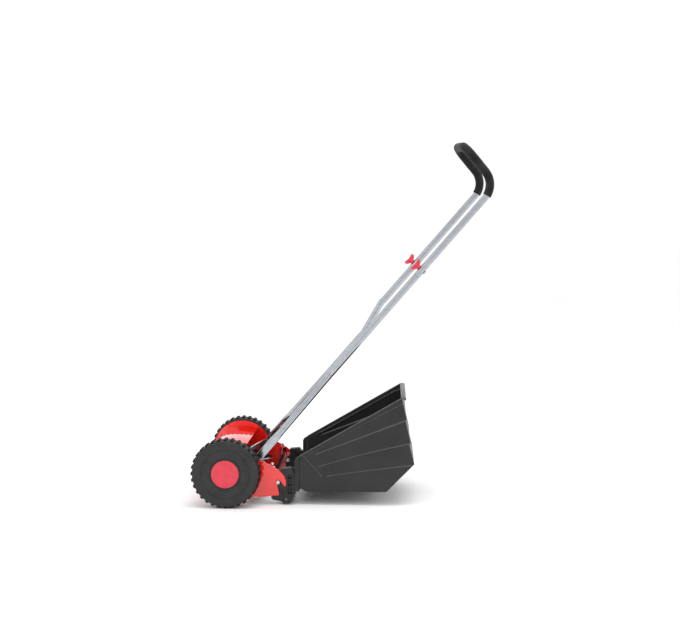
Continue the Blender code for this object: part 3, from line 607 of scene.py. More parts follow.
# Closed section of the wheel as (radius, distance out from the middle of the machine)
WHEEL_SECTION = (
    (0.0063, 0.1604), (0.0063, 0.1925), (0.0390, 0.1925), (0.0395, 0.1930), (0.0395, 0.2008),
    (0.0402, 0.2019), (0.0412, 0.2022), (0.0430, 0.2012), (0.0446, 0.2009), (0.0451, 0.2018),
    (0.0460, 0.2022), (0.0469, 0.2018), (0.0474, 0.2009), (0.0540, 0.2013), (0.0620, 0.2016),
    (0.0690, 0.2017), (0.0702, 0.2018), (0.0707, 0.2029), (0.0715, 0.2033), (0.0723, 0.2029),
    (0.0728, 0.2018), (0.0742, 0.2020), (0.0820, 0.2027), (0.0900, 0.2031), (0.0935, 0.2031),
    (0.0960, 0.2024), (0.0976, 0.2008), (0.0983, 0.1985), (0.0983, 0.1655), (0.0978, 0.1626),
    (0.0966, 0.1608), (0.0950, 0.1602), (0.0921, 0.1602), (0.0915, 0.1608), (0.0912, 0.1958),
    (0.0906, 0.1964), (0.0814, 0.1964), (0.0808, 0.1958), (0.0805, 0.1608), (0.0799, 0.1602),
    (0.0755, 0.1602), (0.0749, 0.1608), (0.0749, 0.1808), (0.0682, 0.1812), (0.0680, 0.1974),
    (0.0676, 0.1978), (0.0446, 0.1978), (0.0442, 0.1974), (0.0440, 0.1869), (0.0436, 0.1865),
    (0.0178, 0.1865), (0.0172, 0.1859), (0.0170, 0.1608), (0.0166, 0.1604),
)
CAP_SECTION = (
    (0.0, 0.2062), (0.0290, 0.20605), (0.0350, 0.2058), (0.0380, 0.2053), (0.0399, 0.2045),
    (0.0407, 0.2036), (0.0408, 0.2029), (0.0403, 0.2025), (0.0394, 0.2024), (0.0393, 0.1988),
    (0.0390, 0.1985), (0.0379, 0.1985), (0.0376, 0.1990), (0.0376, 0.2036), (0.0370, 0.2041),
    (0.0, 0.2042),
)
RING_TEETH = 48
GEAR_MODULE = 0.003
TOOTH_Y = (0.1606, 0.1810)
TOOTH_ROOT, TOOTH_TIP = 0.0031, 0.0012  # half widths
LUG_Y = (0.1634, 0.2004)
LUG_DEPTH = 0.0056
LUG_TAPER = 0.82
LUG_DRAFT = 0.0016


def cube_between(low, high):
    """A block between two corners."""
    bm = bmesh.new()
    bmesh.ops.create_cube(bm, size=1.0)
    size = Vector(high) - Vector(low)
    centre = (Vector(high) + Vector(low)) / 2
    return moved(bm, Matrix.Translation(centre) @ Matrix.Diagonal((*size, 1.0)))


def around_axle(bm, count, first):
    """Copies a shape drawn at the top of a circle round the Y axis."""
    source = bm.verts[:] + bm.edges[:] + bm.faces[:]
    for k in range(1, count):
        copy = bmesh.ops.duplicate(bm, geom=source)
        turn = Matrix.Rotation(math.tau * k / count, 3, "Y")
        bmesh.ops.rotate(bm, verts=verts_of(copy), cent=(0, 0, 0), matrix=turn)
    return moved(bm, Matrix.Rotation(first, 4, "Y"))


def make_lugs(sign, sizes):
    pitch = math.tau * WHEEL_R / sizes.lug_count
    half = pitch * sizes.lug_share / 2
    y0, y1 = sorted((sign * LUG_Y[0], sign * LUG_Y[1]))
    lug = cube_between((-half, y0, WHEEL_R - LUG_DEPTH), (half, y1, WHEEL_R))
    for vert in lug.verts:
        if vert.co.z > WHEEL_R - LUG_DEPTH / 2:
            vert.co.x *= LUG_TAPER
            vert.co.y += math.copysign(LUG_DRAFT, 0.5 * (y0 + y1) - vert.co.y)
    soften(lug, 0.0007)
    for face in lug.faces:
        # The lugs take the second finish: painted shade on the wheel's own plastic
        face.material_index = 1
    return around_axle(lug, sizes.lug_count, math.pi)


def make_ring_teeth(sign):
    """Teeth of the internal gear, moulded on the wheel's inner side."""
    pitch_r = RING_TEETH * GEAR_MODULE / 2
    y0, y1 = sorted((sign * TOOTH_Y[0], sign * TOOTH_Y[1]))
    tip, root = pitch_r - 0.8 * GEAR_MODULE, pitch_r + 1.05 * GEAR_MODULE
    tooth = cube_between((-TOOTH_ROOT, y0, tip), (TOOTH_ROOT, y1, root))
    for vert in tooth.verts:
        if vert.co.z < pitch_r:
            vert.co.x *= TOOTH_TIP / TOOTH_ROOT
    soften(tooth, 0.0003, 1)
    meeting = math.atan2(AXLE_Z - REEL_Z, REEL_X) + math.pi / 2
    half_tooth = math.pi / RING_TEETH
    return around_axle(tooth, RING_TEETH, meeting + half_tooth)


def make_wheels(sizes):
    for side, sign in SIDES:
        body = turned(WHEEL_SECTION, 96, sign)
        bm = joined(body, make_lugs(sign, sizes), make_ring_teeth(sign))
        node = f"wheel_{side}"
        # The second finish darkens the lugs: painted shade
        looks = ["tyre", "lug_black"]
        finished(shifted(bm, z=AXLE_Z), f"{node}_moulding", looks, "wheel_plastic", node)


def make_caps():
    for side, sign in SIDES:
        node = f"hub_cap_{side}"
        bm = shifted(turned(CAP_SECTION, 72, sign), z=AXLE_Z)
        finished(bm, f"{node}_moulding", ["cap_red"], "red_plastic", node, sharp=50)


def make_drive():
    axle, reel = y_axis(0.0, AXLE_Z), y_axis(REEL_X, REEL_Z)
    rows = (
        ("axle_stub", axle, "bright_steel", "steel", 0.0004),
        ("drive_pinion", reel, "reel_black", "dark_steel", 0.0002),
        ("drive_pawl", None, "bright_steel", "steel", 0.0003),
        ("reel_bearing", reel, "bronze", "bronze", 0.0004),
    )
    for stem, axis, look, slot, width in rows:
        for side, _ in SIDES:
            node = f"{stem}_{side}"
            even_light(rounded(node, "part", look, slot, width, [axis] if axis else []))


# ---------------------------------------------------------------- reel and knife

BLADE_COUNT = 5
BLADE_TWIST = math.radians(60)
BLADE_ROOT = 0.0450
BLADE_START = math.radians(125)
BLADE_THICK = 0.002
BLADE_STEPS = 48


def make_blade(index):
    """A strip twisted along the reel, its outer edge ground to a narrow land."""
    half = BLADE_THICK / 2
    section = (
        (BLADE_ROOT, -half),
        (REEL_R - 0.0022, -half),
        (REEL_R - 0.0002, -half * 0.2),
        (REEL_R - 0.0002, half),
        (BLADE_ROOT, half),
    )
    bm = bmesh.new()
    start = BLADE_START + math.tau * index / BLADE_COUNT
    turn = Matrix.Rotation(-start, 3, "Y")
    ring = [bm.verts.new(turn @ Vector((r, -REEL_HALF, s))) for r, s in section]
    edges = [bm.edges.new(pair) for pair in zip(ring, ring[1:] + ring[:1])]
    bmesh.ops.spin(
        bm,
        geom=ring + edges,
        cent=(0, 0, 0),
        axis=(0, 1, 0),
        dvec=(0, 2 * REEL_HALF / BLADE_STEPS, 0),
        angle=BLADE_TWIST,
        steps=BLADE_STEPS,
    )
    bmesh.ops.holes_fill(bm, edges=[edge for edge in bm.edges if edge.is_boundary])
    for face in bm.faces:
        centre = face.calc_center_median()
        face.material_index = int(math.hypot(centre.x, centre.z) > REEL_R - 0.0016)
    node = f"reel_blade_{index + 1}"
    placed = shifted(bm, x=REEL_X, z=REEL_Z)
    finished(placed, f"{node}_strip", ["reel_black", "ground_steel"], "dark_steel", node)


def make_reel():
    for index in range(BLADE_COUNT):
        make_blade(index)
    axis = y_axis(REEL_X, REEL_Z)
    for place in ("left", "centre", "right"):
        node = f"reel_spider_{place}"
        even_light(rounded(node, "pressing", "reel_black", "dark_steel", 0.0003, [axis], 2))
    even_light(rounded("reel_shaft", "bar", "reel_black", "dark_steel", 0.0005, [axis]))


def make_knives():
    even_light(rounded("knife_bar", "angle", "reel_black", "dark_steel", 0.0005))
    even_light(rounded("bed_knife", "strip", "ground_steel", "steel", 0.00015))
    for side, _ in SIDES:
        node = f"knife_screw_{side}"
        axes = [node_axis(node, (0, 0, 1))]
        even_light(rounded(node, "part", "bright_steel", "steel", 0.0004, axes))


# ---------------------------------------------------------------- sheet metal

COVER_LINE = (
    (0.0500, 0.1710), (0.0350, 0.1750), (0.0170, 0.1772), (-0.0030, 0.1775), (-0.0220, 0.1757),
    (-0.0410, 0.1705), (-0.0570, 0.1610), (-0.0690, 0.1480), (-0.0760, 0.1320),
    (-0.0785, 0.1160), (-0.0775, 0.1000),
)
SHEET = 0.0015
HEM_R = 0.0014


def make_cover():
    """Rolled sheet with a folded hem along its front and rear edges."""
    half = reach("top_cover", 1)
    line = smooth_line([Vector((x, 0.0, z)) for x, z in COVER_LINE], 6)
    bm = bmesh.new()
    ring = [bm.verts.new((p.x, -half, p.z)) for p in line]
    edges = [bm.edges.new(pair) for pair in zip(ring, ring[1:])]
    grown = bmesh.ops.extrude_edge_only(bm, edges=edges)
    bmesh.ops.translate(bm, verts=verts_of(grown), vec=(0, 2 * half, 0))
    bmesh.ops.recalc_face_normals(bm, faces=bm.faces)
    up = sum((face.normal.z for face in bm.faces), 0.0)
    if up < 0:
        bmesh.ops.reverse_faces(bm, faces=bm.faces)
    bmesh.ops.solidify(bm, geom=bm.faces[:], thickness=SHEET)
    soften(bm, 0.0004, 2, 60.0)
    hems = []
    for end, inner in ((line[0], line[1]), (line[-1], line[-2])):
        ahead = (end - inner).normalized()
        under = Vector((ahead.z, 0.0, -ahead.x))
        if under.z > 0 or (abs(under.z) < 0.3 and under.x < 0):
            under = -under
        centre = end + under * HEM_R - ahead * HEM_R
        stations = [
            (centre + Vector((0, y, 0)), HEM_R, HEM_R, 2.0) for y in (-half + 0.0006, half - 0.0006)
        ]
        hems.append(pipe(stations, Vector((0, 0, 1)), 16))
    finished(joined(bm, *hems), "top_cover_sheet", ["enamel"], "red_paint", "top_cover", sharp=40)


def make_side_plates():
    axes = [y_axis(0.0, AXLE_Z), y_axis(REEL_X, REEL_Z)]
    for side, _ in SIDES:
        node = f"side_plate_{side}"
        even_light(rounded(node, "pressing", "enamel", "red_paint", 0.0004, axes, 2))


# ---------------------------------------------------------------- roller carriage


POCKETS = ((0.0330, 0.0540), (0.0565, 0.0760), (0.0785, 0.0920))  # bottom and top of each
POCKET_FRONT, POCKET_REAR = 0.1785, 0.1935
POCKET_DEPTH = 0.0080
POCKET_DRAFT = 0.001
POCKET_CLEAR = 0.0010  # how far the cutter stands out of the bracket
ROLLER_BANDS = 6
GROOVE_HALF = 0.0012
GROOVE_DEPTH = 0.0008


def make_brackets():
    """Moulded bracket with cored pockets behind the plate's tail and a boss round the rod."""
    for side, sign in SIDES:
        node = f"roller_bracket_{side}"
        axes = [y_axis(ROLLER_X, ROLLER_Z), y_axis(*HOOK)]
        piece = rounded(node, "moulding", "bracket_black", "black_plastic", 0.0006, axes, 2)
        outer = reach_out(node, sign)
        for low, high in POCKETS:
            pocket = [
                (POCKET_FRONT, low), (POCKET_REAR, low),
                (POCKET_REAR - POCKET_DRAFT, high), (POCKET_FRONT, high),
            ]
            tool = slab(pocket, outer - sign * POCKET_DEPTH, outer + sign * POCKET_CLEAR)
            carve(piece, soften(tool, 0.0012))
        even_light(piece)


def reach_out(node, sign):
    """The Y of a node's outer face on its own side of the machine."""
    low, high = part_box(node)
    return high.y if sign > 0 else low.y


def make_roller():
    half = reach("roller", 1)
    radius = ROLLER_Z
    bore = ROD_R + 0.0003
    end, sunk = half - GROOVE_HALF, radius - GROOVE_DEPTH
    outline = [(bore, -half), (radius - GROOVE_HALF, -half), (radius, -end)]
    for k in range(1, ROLLER_BANDS):
        y = -half + 2 * half * k / ROLLER_BANDS
        outline += [(radius, y - GROOVE_HALF), (sunk, y - GROOVE_HALF / 2)]
        outline += [(sunk, y + GROOVE_HALF / 2), (radius, y + GROOVE_HALF)]
    outline += [(radius, end), (radius - GROOVE_HALF, half), (bore, half)]
    bm = shifted(turned(outline, 64), x=ROLLER_X, z=ROLLER_Z)
    finished(bm, "roller_moulding", ["bracket_black"], "black_plastic", "roller")
    axes = [node_axis("roller_rod")]
    even_light(rounded("roller_rod", "bar", "worn_steel", "steel", 0.0004, axes))


# ---------------------------------------------------------------- fasteners


def cross_tool(depth):
    """The two arms of a cross recess at the origin, cut down from +Y by their depth."""
    half, wide = CROSS_HALF, CROSS_WIDTH / 2
    return [
        cube_between((-half, -depth, -wide), (half, CROSS_CLEAR, wide)),
        cube_between((-wide, -depth, -half), (wide, CROSS_CLEAR, half)),
    ]


def make_fasteners():
    rows = (
        ("height_bolt_{}", 0.0003, False),
        ("height_nut_{}", 0.0004, False),
        ("handle_strap_{}", 0.0004, False),
        ("strap_bolt_{}_upper", 0.0003, False),
        ("strap_bolt_{}_lower", 0.0003, False),
        ("tube_screw_{}", 0.0003, True),
        ("joint_screw_{}_lower", 0.0002, True),
        ("joint_screw_{}_upper", 0.0002, True),
    )
    for stem, width, crossed in rows:
        for side, sign in SIDES:
            node = stem.format(side)
            piece = rounded(node, "part", "bright_steel", "steel", width, [node_axis(node)])
            if crossed:
                centre = middle(node)
                out = reach_out(node, sign)
                for arm in cross_tool(SCREW_RECESS):
                    if sign < 0:
                        moved(arm, Matrix.Rotation(math.pi, 4, "X"))
                    carve(piece, shifted(arm, centre.x - AXLE_X, out, centre.z))
            even_light(piece)


def make_knobs():
    for side, _ in SIDES:
        axes = [joint_axis(f"{side}_wing_nut_turn")]
        bolt, nut = f"handle_bolt_{side}", f"wing_nut_{side}"
        even_light(rounded(bolt, "part", "bright_steel", "steel", 0.0004, axes))
        even_light(rounded(nut, "moulding", "cap_red", "red_plastic", 0.0010, axes, 2, 3))


# ---------------------------------------------------------------- handle


def leg(station, y):
    c, s = math.cos(HANDLE_SLOPE), math.sin(HANDLE_SLOPE)
    return Vector((HANDLE_X + station * c, y, HANDLE_Z + station * s))


def handle_matrix():
    """Rolled frame of the upper handle: X up the legs, Y from the left leg to the right one."""
    c, s = math.cos(HANDLE_SLOPE), math.sin(HANDLE_SLOPE)
    level = Matrix(((c, 0, -s), (0, 1, 0), (s, 0, c))).to_4x4()
    place = Matrix.Translation((HANDLE_X, -LEG_HALF, HANDLE_Z))
    return place @ level @ Matrix.Rotation(HANDLE_ROLL, 4, "X")


def slope_up():
    return Vector((-math.sin(HANDLE_SLOPE), 0, math.cos(HANDLE_SLOPE)))


def blended(first, last, steps):
    """Rows of numbers that ease from the first to the last."""
    rows = []
    for k in range(steps + 1):
        t = k / steps
        ease = t * t * (3 - 2 * t)
        shares = [t] + [ease] * (len(first) - 1)
        rows.append([a + (b - a) * share for a, b, share in zip(first, last, shares)])
    return rows


def make_lower_tubes(sizes):
    """Foot pressed flat over the strap, a drawn neck, then round up to the reduced spigot."""
    foot = (0.012, 0.0045, 3.4)
    full = (TUBE_R, TUBE_R, 2.0)
    small = (SPIGOT_R, SPIGOT_R, 2.0)
    rows = [(-0.0450, STRAP_Y, 0.0116, 0.0042, 3.4)]
    rows += [(-0.0440, STRAP_Y, *foot), (0.0, STRAP_Y, *foot)]
    rows += blended((0.0200, STRAP_Y, *foot), (0.0540, STRAP_Y - 0.0028, *full), 12)
    rows += [(0.1500, 0.11770, *full), (0.2300, LEG_HALF + 0.0062, *full)]
    rows += blended((0.2380, LEG_HALF + 0.0033, *full), (0.2540, LEG_HALF, *full), 4)
    edge = LOWER_JOINT_AT
    rows += [(edge - 0.0010, LEG_HALF, *full), (edge - 0.0003, LEG_HALF, *small)]
    rows += [(0.3500, LEG_HALF, *small), (0.3520, LEG_HALF, 0.0083, 0.0083, 2.0)]
    for side, sign in SIDES:
        stations = [(leg(at, sign * y), n, b, power) for at, y, n, b, power in rows]
        bm = pipe(stations, slope_up(), sizes.tube_sides, TUBE_WALL)
        node = f"lower_tube_{side}"
        finished(bm, f"{node}_drawn", ["zinc_tube"], "zinc", node, sharp=45)


def make_middle_tubes(sizes):
    """A sleeve with a rolled foot at the lower joint, and a reduced spigot at the upper one."""
    for side, sign in SIDES:
        across = 0.0 if sign < 0 else 2 * LEG_HALF
        rolled = handle_matrix()
        level = (LOWER_JOINT_AT, LOWER_JOINT_AT + 0.0012, 0.380, 0.405, 0.420)
        low = [leg(at, sign * LEG_HALF) for at in level]
        above = (0.520, 0.535, 0.560, UPPER_JOINT_AT - 0.0010)
        high = [rolled @ Vector((at, across, 0)) for at in above]
        line = low[:2] + smooth_line(low[2:] + high[:3], 5) + high[3:]
        radii = [TUBE_R - 0.0004] + [TUBE_R] * (len(line) - 1)
        for at, radius in ((UPPER_JOINT_AT - 0.0003, SPIGOT_R), (0.7120, SPIGOT_R)):
            line.append(rolled @ Vector((at, across, 0)))
            radii.append(radius)
        stations = [(point, r, r, 2.0) for point, r in zip(line, radii)]
        bm = pipe(stations, slope_up(), sizes.tube_sides, TUBE_WALL)
        node = f"middle_tube_{side}"
        finished(bm, f"{node}_drawn", ["zinc_tube"], "zinc", node, sharp=45)


def grip_route(start, elbow_steps, corner_steps, straights):
    """Centre line of the U from one elbow to the other, in its own frame."""
    centre = Vector((ELBOW_AT, 0, ELBOW_R))
    half = []
    for k in range(elbow_steps + 1):
        angle = start + (ELBOW_TURN - start) * k / elbow_steps
        half.append(centre + ELBOW_R * Vector((math.sin(angle), 0, -math.cos(angle))))
    ahead = Vector((math.cos(ELBOW_TURN), 0, math.sin(ELBOW_TURN)))
    run = ARM_LENGTH - CORNER_R
    top = half[-1]
    half += [top + ahead * run * k / straights for k in range(1, straights)]
    corner = top + ahead * run + Vector((0, CORNER_R, 0))
    for k in range(corner_steps + 1):
        angle = math.pi / 2 * k / corner_steps
        inward = math.sin(angle) * ahead - Vector((0, math.cos(angle), 0))
        half.append(corner + CORNER_R * inward)
    other = [Vector((p.x, 2 * LEG_HALF - p.y, p.z)) for p in reversed(half)]
    bridge = [half[-1].lerp(other[0], k / straights) for k in range(1, straights)]
    return half + bridge + other


def make_upper_handle(sizes):
    route = grip_route(0.0, 20, 12, 2)
    feet = [Vector((at, 0, 0)) for at in (UPPER_JOINT_AT, UPPER_JOINT_AT + 0.001, 0.80)]
    ends = [Vector((p.x, 2 * LEG_HALF, 0)) for p in reversed(feet)]
    line = feet + route + ends
    radii = [TUBE_R - 0.0004] + [TUBE_R] * (len(line) - 2) + [TUBE_R - 0.0004]
    stations = [(point, r, r, 2.0) for point, r in zip(line, radii)]
    bm = pipe(stations, Vector((0, 0, 1)), sizes.tube_sides, TUBE_WALL)
    moved(bm, handle_matrix())
    finished(bm, "upper_handle_bent", ["zinc_tube"], "zinc", "upper_handle", sharp=45)


def make_foam_grip():
    """Foam sleeve pulled on round the bends: creased inside the elbows, slightly uneven."""
    route = grip_route(FOAM_START, 44, 34, 26)
    stations = [(point, FOAM_R - 0.0002, FOAM_R - 0.0002, 2.0) for point in route]
    for end, inner in ((0, 1), (-1, -2)):
        ahead = (route[inner] - route[end]).normalized()
        point = stations[end][0]
        stations[end] = (point, FOAM_R - 0.0009, FOAM_R - 0.0009, 2.0)
        place = 1 if end == 0 else len(stations) - 1
        stations.insert(place, (point + ahead * 0.0008, FOAM_R - 0.0002, FOAM_R - 0.0002, 2.0))
    bm = pipe(stations, Vector((0, 0, 1)), 40, FOAM_R - TUBE_R - 0.0005)
    skin = [(vert, nearest(route, vert.co)) for vert in bm.verts]
    for vert, (centre, along) in skin:
        out = vert.co - centre
        if out.length < FOAM_R - 0.0015:
            continue
        wave = sum(height * noise.noise(vert.co * scale) for scale, height in FOAM_WAVES)
        elbow = Vector((ELBOW_AT, centre.y, ELBOW_R)) - centre
        inside = max(0.0, out.normalized().dot(elbow.normalized()))
        bent = 1.0 if elbow.length < ELBOW_R + 0.002 else 0.0
        ripple = 0.5 + 0.5 * math.cos(along * math.tau / CREASE_PITCH)
        crease = -CREASE_DEPTH * bent * inside**3 * ripple
        vert.co += out.normalized() * (wave + crease)
    moved(bm, handle_matrix())
    piece = finished(bm, "foam_grip_sleeve", ["foam_sleeve"], "foam", "foam_grip", sharp=60)


def nearest(route, spot):
    """The route's closest point to a spot, and how far along the route it lies."""
    best, length, found = 1e9, 0.0, (route[0], 0.0)
    for start, end in zip(route, route[1:]):
        run = end - start
        t = max(0.0, min(1.0, (spot - start).dot(run) / run.length_squared))
        point = start + t * run
        gap = (spot - point).length
        if gap < best:
            best, found = gap, (point, length + t * run.length)
        length += run.length
    return found


# ---------------------------------------------------------------- catcher

RIM_FRONT = (0.2130, 0.1470)
RIM_REAR = (0.5160, 0.3222)
CATCHER_HALF = 0.1500
# Lines of the stepped side from top to bottom: the end on the gusset, the end at the rear, how
# far the line stands proud as a share of the step, and how far it sags midway
FOLD_LINES = (
    ((0.2213, 0.1518), (0.5160, 0.3222), 0.6, 0.0),
    ((0.2265, 0.1460), (0.5190, 0.3085), 0.9, 0.0),
    ((0.2275, 0.1448), (0.5194, 0.3060), 0.0, 0.0),
    ((0.2300, 0.1422), (0.5300, 0.2600), 1.0, 0.0),
    ((0.2320, 0.1396), (0.5275, 0.2535), 0.0, 0.0),
    ((0.2560, 0.1136), (0.5420, 0.1900), 1.0, -0.0040),
    ((0.2580, 0.1110), (0.5382, 0.1850), 0.0, -0.0040),
    ((0.2800, 0.0869), (0.5535, 0.1260), 1.0, -0.0015),
    ((0.2820, 0.0843), (0.5490, 0.1212), 0.0, -0.0015),
)
FLOOR_EDGE = ((0.3000, 0.0396), (0.4710, 0.0420), (0.5490, 0.1212))
FRONT_EDGE = (
    0.1470, 0.1430, 0.1420, 0.1300, 0.1280, 0.1060, 0.1040, 0.0780, 0.0760, 0.0530,
)
FRONT_FOOT = ((0.2130, 0.0530), (0.2170, 0.0500), (0.2370, 0.0390))
REAR_LIP = (
    (0.5135, 0.3205), (0.5150, 0.3236), (0.5180, 0.3246), (0.5215, 0.3236), (0.5245, 0.3232),
    (0.5245, 0.3200), (0.5190, 0.3208), (0.5155, 0.3180),
)
RIB_ENDS = ((0.2560, 0.1590), (0.5020, 0.3010))
GUSSET_SEAM = ((0.2230, 0.1500), (0.2510, 0.1190), (0.2800, 0.0865))
SIDE_STEPS = 20
CORNER_STEP = 12
ACROSS_STEPS = 8


def mix2(a, b, t):
    return (a[0] + (b[0] - a[0]) * t, a[1] + (b[1] - a[1]) * t)


def floor_point(step):
    """The floor's edge under one step of the side, its corner falling on CORNER_STEP."""
    if step <= CORNER_STEP:
        return mix2(FLOOR_EDGE[0], FLOOR_EDGE[1], step / CORNER_STEP)
    return mix2(FLOOR_EDGE[1], FLOOR_EDGE[2], (step - CORNER_STEP) / (SIDE_STEPS - CORNER_STEP))


def side_columns(step_out):
    """Columns of (x, y, z) down the left side, from the mouth to the rear corner."""
    columns = []
    flush = CATCHER_HALF - step_out
    gusset = [line[0] for line in FOLD_LINES] + [FLOOR_EDGE[0]]
    for k, foot in enumerate(FRONT_FOOT):
        t = k / len(FRONT_FOOT)
        column = [mix2((RIM_FRONT[0], z), corner, t) for z, corner in zip(FRONT_EDGE, gusset)]
        column[-1] = foot
        columns.append([(x, -flush, z) for x, z in column])
    for step in range(SIDE_STEPS + 1):
        t = step / SIDE_STEPS
        fade = min(1.0, step / 3)
        column = []
        for low, high, proud, sag in FOLD_LINES:
            x, z = mix2(low, high, t)
            column.append((x, -(flush + step_out * proud * fade), z - sag * math.sin(math.pi * t)))
        x, z = floor_point(step)
        column.append((x, -flush, z))
        columns.append(column)
    return columns


def sheet_between(bm, rows):
    """A grid moved onto rows of points, merged later with its neighbours."""
    across, down = len(rows), len(rows[0])
    grid = bmesh.ops.create_grid(bm, x_segments=across - 1, y_segments=down - 1, size=1.0)["verts"]
    ordered = sorted(grid, key=lambda v: (round(v.co.x, 5), round(v.co.y, 5)))
    for k, vert in enumerate(ordered):
        vert.co = Vector(rows[k // down][k % down])


def edges_where(bm, test):
    return [edge for edge in bm.edges if all(test(vert.co) for vert in edge.verts)]


def make_tub_shell(step_out):
    """Open scoop: folded sides and rear wall, sloping rear floor, open at the mouth and top."""
    bm = bmesh.new()
    columns = side_columns(step_out)
    sheet_between(bm, columns)
    rear = columns[-1][: len(FOLD_LINES) - 1]
    edge = [column[-1] for column in columns] + [rear[-1]]
    for row in (rear, edge):
        shares = [1 - k / ACROSS_STEPS for k in range(ACROSS_STEPS + 1)]
        sheet_between(bm, [[(x, y * share, z) for x, y, z in row] for share in shares])
    bmesh.ops.remove_doubles(bm, verts=bm.verts, dist=1e-5)
    bmesh.ops.dissolve_degenerate(bm, dist=1e-6, edges=bm.edges)
    corner = {(round(x, 5), round(z, 5)) for x, _, z in rear}
    upright = edges_where(
        bm, lambda co: (round(co.x, 5), round(co.z, 5)) in corner and co.y < -CATCHER_HALF * 0.9
    )
    bevel_edges(bm, upright, 0.0008, 2)
    bmesh.ops.mirror(bm, geom=bm.verts[:] + bm.edges[:] + bm.faces[:], axis="Y", merge_dist=1e-5)
    bmesh.ops.remove_doubles(bm, verts=bm.verts, dist=1e-5)
    bmesh.ops.recalc_face_normals(bm, faces=bm.faces)
    outward = sum(f.normal.y * f.calc_center_median().y * f.calc_area() for f in bm.faces)
    if outward < 0:
        bmesh.ops.reverse_faces(bm, faces=bm.faces)
    return bm


def make_rim():
    """Rolled top edge: down both sides and across the rear, with a round bar behind the lip."""
    y = CATCHER_HALF - 0.0022
    front = Vector((RIM_FRONT[0] + 0.001, 0, RIM_FRONT[1]))
    rear = Vector((RIM_REAR[0], 0, RIM_REAR[1]))
    up = Vector((-0.5, 0, 0.866))
    parts = []
    for sign in (-1, 1):
        off = Vector((0, sign * y, 0))
        stations = [
            (front.lerp(rear, t) + off, half, 0.0022, 2.4)
            for t, half in ((0.0, 0.0012), (0.004, 0.0019), (0.996, 0.0019), (1.0, 0.0012))
        ]
        parts.append(pipe(stations, up, 14))
    parts.append(soften(slab(REAR_LIP, -CATCHER_HALF, CATCHER_HALF), 0.0003))
    bar_half = CATCHER_HALF + 0.0025
    stations = [
        (Vector((0.5252, s * bar_half * t, 0.3200)), r, r, 2.0)
        for s, t, r in (
            (-1, 1.0, 0.0026), (-1, 0.993, 0.0036), (1, 0.993, 0.0036), (1, 1.0, 0.0026),
        )
    ]
    parts.append(pipe(stations, Vector((0, 0, 1)), 20))
    return parts


def make_inner_ribs():
    """Stiffening bead inside each wall, a little shorter than the rim it follows."""
    parts = []
    for sign in (-1, 1):
        y = sign * (CATCHER_HALF - 0.0050)
        start, end = (Vector((x, y, z)) for x, z in RIB_ENDS)
        stations = [
            (start.lerp(end, t), half, half, 2.0)
            for t, half in ((0.0, 0.0006), (0.006, 0.0017), (0.994, 0.0017), (1.0, 0.0006))
        ]
        parts.append(pipe(stations, Vector((-0.5, 0, 0.866)), 12))
    return parts


def make_gusset_ridges():
    """The raised seam on each side where the folds stop."""
    parts = []
    for sign in (-1, 1):
        y = sign * (CATCHER_HALF - 0.0024)
        line = [Vector((x, y, z)) for x, z in GUSSET_SEAM]
        stations = [(point, 0.0013, 0.0012, 2.0) for point in line]
        parts.append(pipe(stations, Vector((0.7, 0, 0.7)), 10))
    return parts


def make_catcher(sizes):
    shell = make_tub_shell(sizes.fold_step)
    # Tilted fold ledges take the second finish: a painted highlight, the catcher plastic made
    # lighter
    for face in shell.faces:
        if abs(face.normal.y) > 0.2 and abs(face.normal.z) > 0.3:
            face.material_index = 1
    looks, slot = ["bag", "bag_edge"], "catcher_plastic"
    tub = finished(shell, "catcher_tub_moulding", looks, slot, "catcher_tub", sharp=26)
    wall = tub.modifiers.new("wall", "SOLIDIFY")
    wall.thickness = sizes.catcher_wall
    wall.offset = -1.0
    wall.use_even_offset = True
    even_light(tub)
    # The rim, inner ribs and gusset ridges take the lighter finish too: a painted highlight
    trim = joined(*make_rim(), *make_inner_ribs(), *make_gusset_ridges())
    finished(trim, "catcher_tub_rim", ["bag_edge"], slot, "catcher_tub")
    look, slot = "bracket_black", "black_plastic"
    even_light(rounded("catcher_frame", "moulding", look, slot, 0.0006, [y_axis(*HOOK)], 2))


# ---------------------------------------------------------------- stage

CAMERA_PLACE = (0.4738, -3.0257, 0.7972)
CAMERA_TILT = math.radians(85.43)
CAMERA_PAN = math.radians(2.78)
CAMERA_LENS = 52.38
FLOOR_HALF = 60.0
ROOM_LIGHT = 1.04
# name, place, the point it faces, width and height, watts
SOFTBOXES = (
    ("overhead_box", (0.3, -0.5, 2.6), (0.1, 0, 0.3), (2.2, 0.35), 24.0),
    ("left_box", (-2.6, -1.6, 1.6), (0, 0, 0.3), (1.6, 2.2), 5.0),
    ("right_box", (2.8, -1.8, 1.8), (0, 0, 0.3), (1.8, 2.4), 5.0),
)


def make_backdrop():
    """Wide pale floor that runs out to the horizon."""
    bm = bmesh.new()
    bmesh.ops.create_grid(bm, x_segments=1, y_segments=1, size=FLOOR_HALF)
    mesh = bpy.data.meshes.new("backdrop")
    bm.to_mesh(mesh)
    bm.free()
    made, nodes, links = new_finish("backdrop_paper")
    shader = nodes["Principled BSDF"]
    tone = pattern(nodes, links, "ShaderNodeTexNoise", EVEN, 1.5)
    paper = ramp(nodes, links, tone.outputs["Fac"], (0.95, 0.95, 0.95), (0.97, 0.97, 0.97))
    links.new(paper, shader.inputs["Base Color"])
    shader.inputs["Roughness"].default_value = 0.9
    mesh.materials.append(made)
    backdrop = bpy.data.objects.new("backdrop", mesh)
    bpy.context.scene.collection.objects.link(backdrop)


def make_softbox(name, place, aim, size, power):
    lamp = bpy.data.lights.new(name, "AREA")
    lamp.shape = "RECTANGLE"
    lamp.size, lamp.size_y = size
    lamp.energy = power
    box = bpy.data.objects.new(name, lamp)
    bpy.context.scene.collection.objects.link(box)
    box.location = place
    box.rotation_euler = (Vector(aim) - Vector(place)).to_track_quat("-Z", "Y").to_euler()


